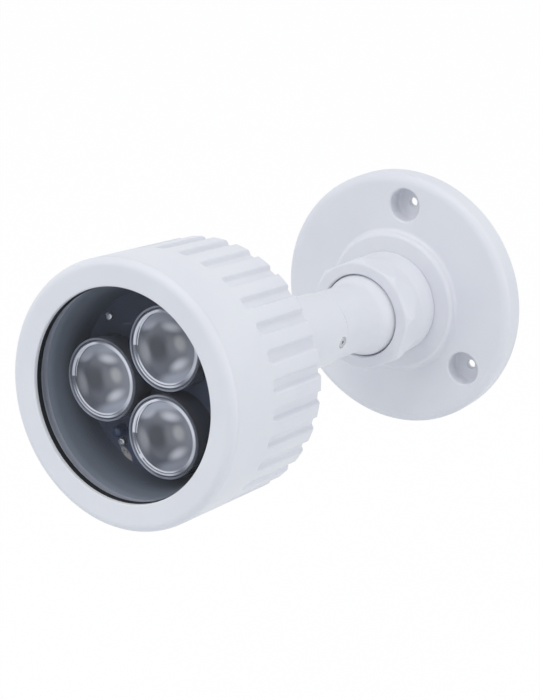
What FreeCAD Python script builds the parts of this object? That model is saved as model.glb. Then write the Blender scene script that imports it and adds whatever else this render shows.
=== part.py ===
import FreeCAD
import Part
import math
import os

# Infrared illuminator: a round three-lamp head on a ball-jointed wall bracket. All sizes are in millimetres.
# The origin is the centre of the wall plate's back face, +Z is up and the head points towards -Y.
# Head and arm are built in line with -Y from the ball's centre, and then leaned over as the ball holds them.

# Fits, small gaps and edges
running_fit = 0.08
slip_gap = 0.15
seat_gap = 0.3
edge_break = 0.4
smallest_arc = 0.75
clear_of_surface = 1.0

# Wall plate
plate_radius = 34.8
plate_thickness = 6.2
plate_edge_round = 1.9
step_height = 2.4
step_round = 0.8
step_beyond_collar = 5.0
screw_count = 3
screw_first_angle = 84.6
screw_from_edge = 8.1
screw_hole_radius = 2.25
screw_recess_radius = 4.2
screw_recess_depth = 3.4
screw_recess_bevel = 0.5
back_recess_depth = 3.4
back_recess_from_screws = 6.0
back_recess_slope = 1.0

# Ball joint
ball_radius = 11.2
ball_to_step = 0.8
boss_wall = 1.1
boss_below_ball_centre = 4.6
thread_beyond_ball = 0.8
collar_wall = 2.0
collar_sides = 8
collar_flats_rise = 0.2
collar_corners_rise = 1.3
collar_corner_angle = 4.0
collar_grip_length = 6.0
collar_chamfer_length = 2.0
collar_lip_start = 2.8
collar_face = 3.5
collar_mouth_widening = 0.25
neck_inset = 0.5
neck_fillet = 1.0
rest_lean = 4.7
rest_heading = 18.0

# Arm
arm_radius = 9.4
arm_from_ball = 12.8
arm_length = 42.9
arm_edge_round = 1.2
spigot_radius = 5.0
spigot_length = 12.5
spigot_groove_depth = 0.6
spigot_end_gap = 0.8
set_screw_radius = 1.5
set_screw_from_arm_start = 2.9
set_screw_angle = -8.2
set_screw_key_width = 1.5
set_screw_key_depth = 1.6
set_screw_sunk = 0.25
tail_radius = 5.0
tail_beyond_nut = 0.6
arm_seal_thickness = 1.0
arm_seal_inset = 0.6
nut_width = 17.0
nut_thickness = 4.0

# Rear cover
cover_boss_margin = 2.1
cover_boss_length = 4.0
cover_boss_round = 0.8
cover_thickness = 2.5
cover_inset = 1.5
cover_skirt_length = 5.6
cover_skirt_wall = 2.7
seal_groove_width = 2.1
seal_groove_depth = 1.45
seal_groove_from_face = 2.1
seal_ring_squeeze = 0.05
seal_ring_side_gap = 0.2
spanner_hole_radius = 1.6
spanner_hole_depth = 1.5
spanner_hole_from_skirt = 4.8

# Cable grommet in the rear cover
grommet_angle = -90.0
grommet_clearance = 0.5
grommet_flange_width = 1.0
grommet_wall = 1.925
grommet_flange_thickness = 1.3
grommet_nose_inset = 1.4
grommet_nose_length = 2.4
grommet_hole_gap = 0.05

# Housing
housing_radius = 30.2
housing_wall = 4.0
bezel_width = 6.3
bezel_lip_thickness = 1.0
bezel_dish = 0.5
bezel_edge_round = 1.4
groove_count = 30
groove_first_angle = 9.2
groove_width = 2.4
groove_depth = 1.6
groove_length = 18.8
groove_run_out_radius = 4.0

# Window, gasket and liner
gasket_thickness = 1.2
gasket_proud = 0.3
window_thickness = 2.5
window_gap = 0.2
liner_length = 9.6
liner_mouth_wall = 2.0
liner_bulge = 0.8
liner_taper = 2.8
liner_foot_thickness = 0.5

# Lamp board, lens holders, lenses and emitters
board_thickness = 1.6
board_gap = 0.6
lamp_count = 3
lamp_first_angle = 181.0
holder_to_liner = 0.7
holder_spacing = 1.52
holder_wall = 0.75
holder_height = 6.2
holder_foot_height = 1.4
holder_foot_wall = 2.6
holder_ledge_width = 0.9
holder_ledge_height = 1.1
lens_gap = 0.1
lens_sunk = 0.5
lens_flange_thickness = 1.0
lens_dome_inset = 1.9
lens_dome_height = 2.4
lens_cone_foot_radius = 2.6
lens_cone_height = 1.9
emitter_width = 3.4
emitter_base_height = 0.9
emitter_dome_radius = 1.35

# Small screws and light sensor
board_screw_angles = (139.0, -121.0, 8.5)
board_screw_from_liner = 2.5
small_screw_radius = 0.8
small_screw_head_radius = 1.35
screw_key_width = 0.9
screw_key_depth = 0.6
board_screw_head_height = 1.2
board_screw_head_bevel = 0.5
board_screw_length = 4.6
sensor_angle = -127.3
sensor_from_liner = 5.3
sensor_radius = 1.25
sensor_height = 2.9
sensor_foot_radius = 1.45
sensor_foot_height = 0.6

# Heat sink and driver board
sink_disc_thickness = 3.6
sink_skirt_wall = 2.5
sink_pad_height = 1.5
sink_pad_radius = 2.4
driver_inset = 3.8
driver_thickness = 1.2
driver_screw_from_edge = 3.2
driver_screw_angles = (60.0, 180.0, 300.0)
driver_screw_head_height = 1.0
driver_screw_length = 3.4
driver_parts_from_edge = 8.0
driver_parts_to_cover = 2.0
inductor_radius = 4.2
inductor_height = 4.5
inductor_rim = 0.9
inductor_waist = 0.7
inductor_angle = 95.0
capacitor_radius = 3.15
capacitor_height = 5.8
capacitor_groove_depth = 0.3
capacitor_groove_height = 1.0
capacitor_groove_width = 0.6
capacitor_angle = 140.0
connector_size = (8.0, 5.0, 5.2)
connector_well_size = (2.4, 2.6, 3.0)
connector_angle = 20.0
chip_size = (6.0, 5.0, 1.5)
chip_angle = 225.0

# Radii and heights of the bracket that follow from these
thread_radius = ball_radius + thread_beyond_ball
collar_radius = thread_radius + collar_wall
collar_width = 2 * (collar_radius + collar_flats_rise)
collar_corner_radius = collar_radius + collar_corners_rise
step_radius = collar_radius + step_beyond_collar
step_face = plate_thickness + step_height
ball_height = step_face + ball_to_step + ball_radius
boss_end = ball_height - boss_below_ball_centre
screw_circle_radius = plate_radius - screw_from_edge
back_recess_radius = screw_circle_radius - screw_recess_radius - back_recess_from_screws
seat_sphere_radius = ball_radius + running_fit
neck_radius = arm_radius - neck_inset

# Places along the head's axis, measured from the ball's centre
arm_start = ball_radius + arm_from_ball
arm_end = arm_start + arm_length
cover_boss_face = arm_end + arm_seal_thickness
cover_outer_face = cover_boss_face + cover_boss_length
cover_inner_face = cover_outer_face + cover_thickness
cover_skirt_end = cover_inner_face + cover_skirt_length
housing_rear = cover_outer_face - cover_inset
driver_back = cover_inner_face + driver_parts_to_cover + capacitor_height
driver_front = driver_back + driver_thickness
sink_disc_back = driver_front + sink_pad_height
sink_front = sink_disc_back + sink_disc_thickness
board_back = sink_front
board_front = board_back + board_thickness
window_back = board_front + liner_length
window_front = window_back + window_thickness
lip_back = window_front + gasket_thickness
lip_front = lip_back + bezel_lip_thickness
housing_front = lip_front + bezel_dish

# Radii of the head that follow from these
housing_bore_radius = housing_radius - housing_wall
bezel_opening_radius = housing_radius - bezel_width
gasket_opening_radius = bezel_opening_radius - gasket_proud
clear_radius = housing_bore_radius - window_gap
board_radius = housing_bore_radius - board_gap
liner_mouth_radius = housing_bore_radius - liner_mouth_wall
liner_middle_radius = liner_mouth_radius - liner_bulge
liner_foot_radius = liner_mouth_radius - liner_taper
room_for_lamps = liner_foot_radius - holder_to_liner - holder_spacing / math.sqrt(3)
holder_radius = room_for_lamps / (1 + 2 / math.sqrt(3))
lamp_circle_radius = (2 * holder_radius + holder_spacing) / math.sqrt(3)
lens_dome_radius = holder_radius - lens_dome_inset
board_screw_circle_radius = liner_foot_radius - board_screw_from_liner
sensor_offset = liner_foot_radius - sensor_from_liner
driver_radius = housing_bore_radius - driver_inset
driver_screw_circle_radius = driver_radius - driver_screw_from_edge
driver_parts_offset = driver_radius - driver_parts_from_edge
cover_radius = housing_bore_radius - slip_gap
cover_skirt_inner_radius = cover_radius - cover_skirt_wall
cover_boss_radius = arm_radius + cover_boss_margin
bolt_hole_radius = tail_radius + slip_gap
spanner_hole_offset = cover_skirt_inner_radius - spanner_hole_from_skirt
grommet_flange_radius = (cover_skirt_inner_radius - cover_boss_radius) / 2 - grommet_clearance
grommet_offset = cover_boss_radius + grommet_clearance + grommet_flange_radius
grommet_neck_radius = grommet_flange_radius - grommet_flange_width
grommet_nose_radius = grommet_flange_radius - grommet_nose_inset
cable_radius = grommet_neck_radius - grommet_wall


def place_in_object(shape):
    """Lean a part of the head over as the ball holds it, and carry it out to the ball's centre."""
    centre = FreeCAD.Vector(0, 0, 0)
    normal = FreeCAD.Vector(0, -1, 0)
    shape.rotate(centre, normal, rest_heading)
    shape.rotate(centre, FreeCAD.Vector(1, 0, 0), -rest_lean)
    shape.rotate(centre, normal, -rest_heading)
    shape.translate(FreeCAD.Vector(0, -ball_height, 0))
    return shape


def save(name, shape):
    """Check a piece and write it."""
    if not shape.isValid():
        raise ValueError(name + " is not a valid solid")
    shape.exportStep("parts/" + name + ".step")
    print(name, len(shape.Solids), round(shape.Volume, 1))


def corner_arc(before, corner, after, radius):
    """Where an arc that rounds one corner of an outline starts, its middle, and where it ends."""
    inward = (before - corner).normalize()
    outward = (after - corner).normalize()
    half_turn = inward.getAngle(outward) / 2
    along = radius / math.tan(half_turn)
    bisector = (inward + outward).normalize()
    middle = corner + bisector * (radius / math.sin(half_turn) - radius)
    return corner + inward * along, middle, corner + outward * along


def outline_face(corners):
    """A flat face in the XY plane from corners (x, y, rounding); a small rounding is cut flat."""
    points = [FreeCAD.Vector(corner[0], corner[1], 0) for corner in corners]
    edges = []
    starts = []
    ends = []
    for index, corner in enumerate(corners):
        here = points[index]
        if len(corner) < 3 or corner[2] <= 0:
            starts.append(here)
            ends.append(here)
            continue
        before = points[index - 1]
        after = points[(index + 1) % len(points)]
        first, middle, last = corner_arc(before, here, after, corner[2])
        if corner[2] < smallest_arc:
            edges.append(Part.makeLine(first, last))
        else:
            edges.append(Part.Arc(first, middle, last).toShape())
        starts.append(first)
        ends.append(last)
    for index in range(len(points)):
        following = (index + 1) % len(points)
        if ends[index].distanceToPoint(starts[following]) > 1e-6:
            edges.append(Part.makeLine(ends[index], starts[following]))
    return Part.Face(Part.Wire(Part.__sortEdges__(edges)))


def turned(corners):
    """Turn an outline of (radius, distance towards the front, rounding) about the axis along -Y."""
    flipped = []
    for corner in corners:
        rounding = corner[2] if len(corner) > 2 else 0
        flipped.append((corner[0], -corner[1], rounding))
    return outline_face(flipped).revolve(FreeCAD.Vector(0, 0, 0), FreeCAD.Vector(0, 1, 0), 360)


def rod(radius, start, end, offset=0.0, angle=0.0):
    """A round bar along the axis between two distances, at a place given by offset and angle."""
    base = at(offset, angle, start)
    return Part.makeCylinder(radius, end - start, base, FreeCAD.Vector(0, -1, 0))


def at(offset, angle, distance):
    """A point at a distance along the axis, off it by offset at angle from +X towards +Z."""
    turn = math.radians(angle)
    return FreeCAD.Vector(offset * math.cos(turn), -distance, offset * math.sin(turn))


def moved_to(shape, offset, angle, distance):
    """A copy of a shape that stands at the ball's centre, carried to a place in the head."""
    copy = shape.copy()
    copy.translate(at(offset, angle, distance))
    return copy


def many_sided(sides, width, start, end, corner_angle=0.0):
    """A bar along the axis with an even number of equal flats, width across two of them."""
    half_side = math.pi / sides
    corner_radius = width / 2 / math.cos(half_side)
    points = [at(corner_radius, corner_angle + 360 * index / sides, start) for index in range(sides)]
    face = Part.Face(Part.makePolygon(points + [points[0]]))
    return face.extrude(FreeCAD.Vector(0, start - end, 0))


def ball(radius):
    """A ball about the joint's centre, with its poles on the axis."""
    return Part.makeSphere(radius, FreeCAD.Vector(0, 0, 0), FreeCAD.Vector(0, 1, 0))


def block(size, offset, angle, start):
    """A box with its first face at a distance along the axis, turned to face the axis."""
    width, depth, height = size
    box = Part.makeBox(width, height, depth, FreeCAD.Vector(-width / 2, -height, -depth / 2))
    box.rotate(FreeCAD.Vector(0, 0, 0), FreeCAD.Vector(0, -1, 0), angle + 90)
    return moved_to(box, offset, angle, start)


# Wall bracket: these pieces are measured from the wall, so distance 0 is the back of the plate

def base_plate():
    """Cast round plate with a raised step, a hollow back, a threaded boss and three sunk screw holes."""
    front = plate_thickness
    boss_inner = thread_radius - boss_wall
    body = turned([
        (0, back_recess_depth),
        (back_recess_radius - back_recess_slope, back_recess_depth),
        (back_recess_radius, 0),
        (plate_radius, 0, edge_break),
        (plate_radius, front, plate_edge_round),
        (step_radius, front),
        (step_radius, step_face, step_round),
        (thread_radius, step_face),
        (thread_radius, boss_end, edge_break),
        (boss_inner, boss_end),
        (boss_inner, step_face),
        (0, step_face),
    ])
    recess_floor = front - screw_recess_depth
    bevel_radius = screw_recess_radius + screw_recess_bevel
    recess = turned([
        (0, recess_floor),
        (screw_recess_radius, recess_floor),
        (screw_recess_radius, front - screw_recess_bevel),
        (bevel_radius, front),
        (bevel_radius, front + clear_of_surface),
        (0, front + clear_of_surface),
    ])
    for index in range(screw_count):
        angle = screw_first_angle + index * 360 / screw_count
        hole = rod(screw_hole_radius, -clear_of_surface, front, screw_circle_radius, angle)
        body = body.cut(hole).cut(moved_to(recess, screw_circle_radius, angle, 0))
    return body


def ball_seat():
    """Moulded cup that the ball turns in, dropped into the boss."""
    seat_radius = thread_radius - boss_wall - running_fit
    floor = step_face + running_fit
    cup = turned([(0, floor), (seat_radius, floor, edge_break), (seat_radius, boss_end), (0, boss_end)])
    hollow = ball(seat_sphere_radius)
    hollow.translate(FreeCAD.Vector(0, -ball_height, 0))
    return cup.cut(hollow)


def locking_collar():
    """Ring nut with eight flats: it screws onto the boss, and its lip draws the ball into its seat."""
    foot = step_face + seat_gap
    face = ball_height + collar_face
    grip_start = face - collar_grip_length
    outside = turned([
        (0, foot),
        (collar_radius, foot, edge_break),
        (collar_radius, grip_start),
        (collar_corner_radius, grip_start + collar_corners_rise / 2),
        (collar_corner_radius, face - collar_chamfer_length),
        (collar_width / 2, face),
        (0, face),
    ])
    flats = many_sided(collar_sides, collar_width, 0, face + clear_of_surface, collar_corner_angle)
    body = outside.common(flats)
    lip_radius = math.sqrt(seat_sphere_radius ** 2 - collar_lip_start ** 2)
    mouth_radius = lip_radius + collar_mouth_widening
    bore = rod(thread_radius + slip_gap, 0, ball_height - seat_gap)
    hollow = ball(seat_sphere_radius)
    hollow.translate(FreeCAD.Vector(0, -ball_height, 0))
    mouth = turned([
        (0, ball_height),
        (lip_radius, ball_height),
        (lip_radius, ball_height + collar_lip_start),
        (mouth_radius, face),
        (mouth_radius, face + clear_of_surface),
        (0, face + clear_of_surface),
    ])
    return body.cut(bore).cut(hollow).cut(mouth)


# Ball stud and arm: from here on distances are measured from the ball's centre

def ball_stud():
    """Ball, neck and spigot turned in one piece, with a groove that the set screw's point runs in."""
    shoulder = arm_start - seat_gap
    spigot_end = arm_start + spigot_length
    groove_middle = arm_start + set_screw_from_arm_start
    groove_half = set_screw_radius + slip_gap
    groove_radius = spigot_radius - spigot_groove_depth
    pin_radius = spigot_radius - running_fit
    neck_meets_ball = math.sqrt((ball_radius + neck_fillet) ** 2 - (neck_radius + neck_fillet) ** 2)
    scale = ball_radius / (ball_radius + neck_fillet)
    touch = FreeCAD.Vector((neck_radius + neck_fillet) * scale, -neck_meets_ball * scale, 0)
    fillet_centre = FreeCAD.Vector(neck_radius + neck_fillet, -neck_meets_ball, 0)
    neck_start = FreeCAD.Vector(neck_radius, -neck_meets_ball, 0)
    back = FreeCAD.Vector(0, ball_radius, 0)
    side = FreeCAD.Vector(ball_radius, 0, 0)
    halfway = (touch - fillet_centre) + (neck_start - fillet_centre)
    fillet_middle = fillet_centre + halfway.normalize() * neck_fillet
    rest = [
        (neck_radius, shoulder - edge_break),
        (neck_radius - edge_break, shoulder),
        (pin_radius, shoulder),
        (pin_radius, groove_middle - groove_half),
        (groove_radius, groove_middle - groove_half),
        (groove_radius, groove_middle + groove_half),
        (pin_radius, groove_middle + groove_half),
        (pin_radius, spigot_end - edge_break),
        (pin_radius - edge_break, spigot_end),
        (0, spigot_end),
    ]
    points = [neck_start] + [FreeCAD.Vector(radius, -distance, 0) for radius, distance in rest]
    edges = [Part.Arc(back, side, touch).toShape(), Part.Arc(touch, fillet_middle, neck_start).toShape()]
    for first, last in zip(points, points[1:]):
        edges.append(Part.makeLine(first, last))
    edges.append(Part.makeLine(points[-1], back))
    face = Part.Face(Part.Wire(Part.__sortEdges__(edges)))
    return face.revolve(FreeCAD.Vector(0, 0, 0), FreeCAD.Vector(0, 1, 0), 360)


def arm():
    """Turned arm: a socket for the spigot at the ball's end and a threaded tail at the head's end."""
    socket_end = arm_start + spigot_length + spigot_end_gap
    tail_end = cover_inner_face + nut_thickness + tail_beyond_nut
    body = turned([
        (0, socket_end),
        (spigot_radius, socket_end),
        (spigot_radius, arm_start),
        (arm_radius, arm_start, arm_edge_round),
        (arm_radius, arm_end, edge_break),
        (tail_radius, arm_end),
        (tail_radius, tail_end, edge_break),
        (0, tail_end),
    ])
    hole_end = arm_radius + clear_of_surface
    return body.cut(set_screw_bar(set_screw_radius, spigot_radius - clear_of_surface, hole_end))


def set_screw_bar(radius, inner, outer):
    """A bar square to the arm's axis, on the set screw's line."""
    base = at(inner, set_screw_angle, arm_start + set_screw_from_arm_start)
    return Part.makeCylinder(radius, outer - inner, base, at(1, set_screw_angle, 0))


def arm_set_screw():
    """Headless screw with a hexagonal key socket, its point in the spigot's groove."""
    head = arm_radius - set_screw_sunk
    point = spigot_radius - spigot_groove_depth + running_fit
    body = set_screw_bar(set_screw_radius - running_fit, point, head)
    key = many_sided(6, set_screw_key_width, -set_screw_key_depth, clear_of_surface)
    key.rotate(FreeCAD.Vector(0, 0, 0), FreeCAD.Vector(0, 0, 1), 90)
    key.rotate(FreeCAD.Vector(0, 0, 0), FreeCAD.Vector(0, -1, 0), set_screw_angle)
    key.translate(at(head, set_screw_angle, arm_start + set_screw_from_arm_start))
    return body.cut(key)


def arm_seal():
    """Flat washer between the arm's shoulder and the rear cover's boss."""
    return turned([
        (bolt_hole_radius, arm_end),
        (arm_radius - arm_seal_inset, arm_end),
        (arm_radius - arm_seal_inset, cover_boss_face),
        (bolt_hole_radius, cover_boss_face),
    ])


def arm_nut():
    """Thin nut on the arm's tail, inside the head."""
    end = cover_inner_face + nut_thickness
    corners = rod(nut_width / math.sqrt(3) - edge_break, cover_inner_face, end)
    hole = rod(tail_radius + running_fit, arm_end, end + clear_of_surface)
    return many_sided(6, nut_width, cover_inner_face, end).common(corners).cut(hole)


# Rear of the head

def rear_cover():
    """Screwed cup that closes the head: a boss for the arm, a seal groove, a cable hole and key holes."""
    groove_start = cover_outer_face + seal_groove_from_face
    groove_end = groove_start + seal_groove_width
    groove_radius = cover_radius - seal_groove_depth
    body = turned([
        (bolt_hole_radius, cover_boss_face),
        (cover_boss_radius, cover_boss_face, cover_boss_round),
        (cover_boss_radius, cover_outer_face),
        (cover_radius, cover_outer_face, edge_break),
        (cover_radius, groove_start),
        (groove_radius, groove_start),
        (groove_radius, groove_end),
        (cover_radius, groove_end),
        (cover_radius, cover_skirt_end),
        (cover_skirt_inner_radius, cover_skirt_end),
        (cover_skirt_inner_radius, cover_inner_face),
        (bolt_hole_radius, cover_inner_face),
    ])
    start = cover_outer_face - clear_of_surface
    hole_end = cover_inner_face + clear_of_surface
    hole_radius = grommet_neck_radius + grommet_hole_gap
    body = body.cut(rod(hole_radius, start, hole_end, grommet_offset, grommet_angle))
    for angle in (0, 180):
        end = cover_outer_face + spanner_hole_depth
        body = body.cut(rod(spanner_hole_radius, start, end, spanner_hole_offset, angle))
    return body


def rear_cover_seal():
    """Rubber ring, pressed nearly square in the rear cover's groove."""
    inner = cover_radius - seal_groove_depth + seal_ring_squeeze
    outer = housing_bore_radius - seal_ring_squeeze
    start = cover_outer_face + seal_groove_from_face + seal_ring_side_gap
    end = start + seal_groove_width - 2 * seal_ring_side_gap
    return turned([
        (inner, start, edge_break),
        (outer, start, edge_break),
        (outer, end, edge_break),
        (inner, end, edge_break),
    ])


def cable_grommet():
    """Rubber grommet that the cable enters by, gripping the rear cover from both sides."""
    nose = cover_outer_face - grommet_flange_thickness - grommet_nose_length
    outer_flange = cover_outer_face - grommet_flange_thickness
    inner_flange = cover_inner_face + grommet_flange_thickness
    body = turned([
        (cable_radius, nose),
        (grommet_nose_radius, nose, edge_break),
        (grommet_nose_radius, outer_flange),
        (grommet_flange_radius, outer_flange, edge_break),
        (grommet_flange_radius, cover_outer_face),
        (grommet_neck_radius, cover_outer_face),
        (grommet_neck_radius, cover_inner_face),
        (grommet_flange_radius, cover_inner_face),
        (grommet_flange_radius, inner_flange, edge_break),
        (cable_radius, inner_flange),
    ])
    return moved_to(body, grommet_offset, grommet_angle, 0)


# Housing and window

def groove_cutter():
    """One cooling groove on the +X side: flat floor, and an arc where the cutter runs out at the front."""
    floor = housing_radius - groove_depth
    above = housing_radius + clear_of_surface
    rise = groove_depth + clear_of_surface
    front = housing_rear + groove_length
    run_out = math.sqrt(groove_run_out_radius ** 2 - (groove_run_out_radius - groove_depth) ** 2)
    above_run_out = math.sqrt(groove_run_out_radius ** 2 - (groove_run_out_radius - rise) ** 2)
    floor_end = front - run_out
    slope = math.acos((groove_run_out_radius - rise) / groove_run_out_radius) / 2
    middle_x = floor + groove_run_out_radius * (1 - math.cos(slope))
    middle_y = floor_end + groove_run_out_radius * math.sin(slope)
    rear = housing_rear - clear_of_surface
    side = -groove_width / 2
    first = FreeCAD.Vector(floor, -rear, side)
    second = FreeCAD.Vector(floor, -floor_end, side)
    middle = FreeCAD.Vector(middle_x, -middle_y, side)
    third = FreeCAD.Vector(above, -(floor_end + above_run_out), side)
    fourth = FreeCAD.Vector(above, -rear, side)
    edges = [
        Part.makeLine(first, second),
        Part.Arc(second, middle, third).toShape(),
        Part.makeLine(third, fourth),
        Part.makeLine(fourth, first),
    ]
    face = Part.Face(Part.Wire(edges))
    return face.extrude(FreeCAD.Vector(0, 0, groove_width))


def housing():
    """One-piece cast housing: bezel lip, straight bore, and cooling grooves round its rear half."""
    body = turned([
        (housing_bore_radius, housing_rear),
        (housing_radius, housing_rear, edge_break),
        (housing_radius, housing_front, bezel_edge_round),
        (bezel_opening_radius, lip_front),
        (bezel_opening_radius, lip_back),
        (housing_bore_radius, lip_back),
    ])
    cutter = groove_cutter()
    cutters = []
    for index in range(groove_count):
        angle = groove_first_angle + index * 360 / groove_count
        copy = cutter.copy()
        copy.rotate(FreeCAD.Vector(0, 0, 0), FreeCAD.Vector(0, -1, 0), angle)
        cutters.append(copy)
    return body.cut(cutters)


def window_gasket():
    """Flat black rubber ring between the bezel's lip and the window."""
    return turned([
        (gasket_opening_radius, window_front),
        (clear_radius, window_front),
        (clear_radius, lip_back),
        (gasket_opening_radius, lip_back),
    ])


def front_window():
    """Round window of toughened glass with ground edges."""
    return turned([
        (0, window_back),
        (clear_radius, window_back, edge_break),
        (clear_radius, window_front, edge_break),
        (0, window_front),
    ])


def inner_liner():
    """Dark dished ring that holds the window and the lamp board apart and hides the wall."""
    mouth = FreeCAD.Vector(liner_mouth_radius, -window_back, 0)
    middle = FreeCAD.Vector(liner_middle_radius, -(window_back + board_front) / 2, 0)
    foot = FreeCAD.Vector(liner_foot_radius, -(board_front + liner_foot_thickness), 0)
    foot_edge = FreeCAD.Vector(liner_foot_radius, -board_front, 0)
    outer_foot = FreeCAD.Vector(clear_radius, -board_front, 0)
    outer_mouth = FreeCAD.Vector(clear_radius, -window_back, 0)
    edges = [
        Part.Arc(mouth, middle, foot).toShape(),
        Part.makeLine(foot, foot_edge),
        Part.makeLine(foot_edge, outer_foot),
        Part.makeLine(outer_foot, outer_mouth),
        Part.makeLine(outer_mouth, mouth),
    ]
    face = Part.Face(Part.Wire(edges))
    return face.revolve(FreeCAD.Vector(0, 0, 0), FreeCAD.Vector(0, 1, 0), 360)


# Lamps

def led_board():
    """Round lamp board with clearance holes for its screws."""
    body = rod(board_radius, board_back, board_front)
    for angle in board_screw_angles:
        hole_radius = small_screw_radius + slip_gap
        body = body.cut(rod(hole_radius, board_back, board_front, board_screw_circle_radius, angle))
    return body


def emitter():
    """Lamp: a square base with a small clear dome."""
    base = block((emitter_width, emitter_width, emitter_base_height), 0, 0, 0)
    dome = ball(emitter_dome_radius)
    dome.translate(FreeCAD.Vector(0, -emitter_base_height, 0))
    below = rod(emitter_dome_radius, -emitter_dome_radius, emitter_base_height / 2)
    return base.fuse(dome.cut(below)).removeSplitter()


def lens_holder():
    """Moulded cup round one lamp: a stepped foot, a thin wall and a ledge that the lens rests on."""
    inner = holder_radius - holder_wall
    ledge_top = holder_height - lens_flange_thickness - lens_sunk
    ledge_foot = ledge_top - holder_ledge_height
    ledge = inner - holder_ledge_width
    foot_inner = holder_radius - holder_foot_wall
    return turned([
        (foot_inner, 0),
        (holder_radius, 0),
        (holder_radius, holder_height, edge_break),
        (inner, holder_height),
        (inner, ledge_top),
        (ledge, ledge_top),
        (ledge, ledge_foot),
        (inner, ledge_foot - holder_ledge_width),
        (inner, holder_foot_height),
        (foot_inner, holder_foot_height),
    ])


def lens():
    """Clear lens: a domed top on a flange, and a short cone that gathers the lamp's light."""
    flange_radius = holder_radius - holder_wall - lens_gap
    flange_back = holder_height - lens_flange_thickness - lens_sunk
    flange_front = flange_back + lens_flange_thickness
    cone_top_radius = flange_radius - holder_ledge_width - lens_gap
    cone_end = flange_back - lens_cone_height
    apex = flange_front + lens_dome_height
    sphere_radius = (lens_dome_radius ** 2 + lens_dome_height ** 2) / (2 * lens_dome_height)
    half_angle = math.asin(lens_dome_radius / sphere_radius) / 2
    middle_height = apex - sphere_radius * (1 - math.cos(half_angle))
    tip = FreeCAD.Vector(0, -apex, 0)
    middle = FreeCAD.Vector(sphere_radius * math.sin(half_angle), -middle_height, 0)
    corners = [
        (lens_dome_radius, flange_front),
        (flange_radius, flange_front),
        (flange_radius, flange_back),
        (cone_top_radius, flange_back),
        (lens_cone_foot_radius, cone_end),
        (0, cone_end),
    ]
    points = [FreeCAD.Vector(radius, -distance, 0) for radius, distance in corners]
    edges = [Part.Arc(tip, middle, points[0]).toShape()]
    for first, last in zip(points, points[1:]):
        edges.append(Part.makeLine(first, last))
    edges.append(Part.makeLine(points[-1], tip))
    face = Part.Face(Part.Wire(edges))
    return face.revolve(FreeCAD.Vector(0, 0, 0), FreeCAD.Vector(0, 1, 0), 360)


def board_screws():
    """Three small round-headed screws that hold the lamp board to the heat sink."""
    screw = turned([
        (0, -board_screw_length),
        (small_screw_radius, -board_screw_length),
        (small_screw_radius, 0),
        (small_screw_head_radius, 0),
        (small_screw_head_radius, board_screw_head_height, board_screw_head_bevel),
        (0, board_screw_head_height),
    ])
    key_floor = board_screw_head_height - screw_key_depth
    slot = many_sided(6, screw_key_width, key_floor, board_screw_head_height + clear_of_surface)
    screw = screw.cut(slot)
    copies = []
    for angle in board_screw_angles:
        copies.append(moved_to(screw, board_screw_circle_radius, angle, board_front))
    return Part.Compound(copies)


def light_sensor():
    """Small round daylight sensor with a flanged foot."""
    body = turned([
        (0, 0),
        (sensor_foot_radius, 0),
        (sensor_foot_radius, sensor_foot_height),
        (sensor_radius, sensor_foot_height),
        (sensor_radius, sensor_height, edge_break),
        (0, sensor_height),
    ])
    return moved_to(body, sensor_offset, sensor_angle, board_front)


# Heat sink and driver

def heat_sink():
    """Aluminium cup behind the lamp board, with pads for the driver board."""
    skirt_inner = clear_radius - sink_skirt_wall
    body = turned([
        (0, sink_disc_back),
        (skirt_inner, sink_disc_back),
        (skirt_inner, cover_skirt_end),
        (clear_radius, cover_skirt_end),
        (clear_radius, sink_front, edge_break),
        (0, sink_front),
    ])
    for angle in driver_screw_angles:
        pad = rod(sink_pad_radius, driver_front, sink_front, driver_screw_circle_radius, angle)
        body = body.fuse(pad)
    for angle in board_screw_angles:
        hole_back = board_front - board_screw_length - slip_gap
        body = body.cut(rod(small_screw_radius, hole_back, sink_front, board_screw_circle_radius, angle))
    for angle in driver_screw_angles:
        hole_front = driver_back + driver_screw_length + slip_gap
        body = body.cut(rod(small_screw_radius, driver_front, hole_front, driver_screw_circle_radius, angle))
    return body.removeSplitter()


def driver_board():
    """Round board of the current driver."""
    body = rod(driver_radius, driver_back, driver_front)
    for angle in driver_screw_angles:
        hole_radius = small_screw_radius + slip_gap
        body = body.cut(rod(hole_radius, driver_back, driver_front, driver_screw_circle_radius, angle))
    return body


def driver_board_screws():
    """Three screws that hold the driver board to the heat sink's pads."""
    screw = turned([
        (0, -driver_screw_head_height),
        (small_screw_head_radius, -driver_screw_head_height, edge_break),
        (small_screw_head_radius, 0),
        (small_screw_radius, 0),
        (small_screw_radius, driver_screw_length),
        (0, driver_screw_length),
    ])
    key_floor = screw_key_depth - driver_screw_head_height
    slot = many_sided(6, screw_key_width, -driver_screw_head_height - clear_of_surface, key_floor)
    screw = screw.cut(slot)
    copies = []
    for angle in driver_screw_angles:
        copies.append(moved_to(screw, driver_screw_circle_radius, angle, driver_back))
    return Part.Compound(copies)


def inductor():
    """Drum inductor with a wound waist."""
    waist_radius = inductor_radius - inductor_waist
    body = turned([
        (0, -inductor_height),
        (inductor_radius, -inductor_height),
        (inductor_radius, inductor_rim - inductor_height),
        (waist_radius, inductor_rim - inductor_height),
        (waist_radius, -inductor_rim),
        (inductor_radius, -inductor_rim),
        (inductor_radius, 0),
        (0, 0),
    ])
    return moved_to(body, driver_parts_offset, inductor_angle, driver_back)


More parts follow.
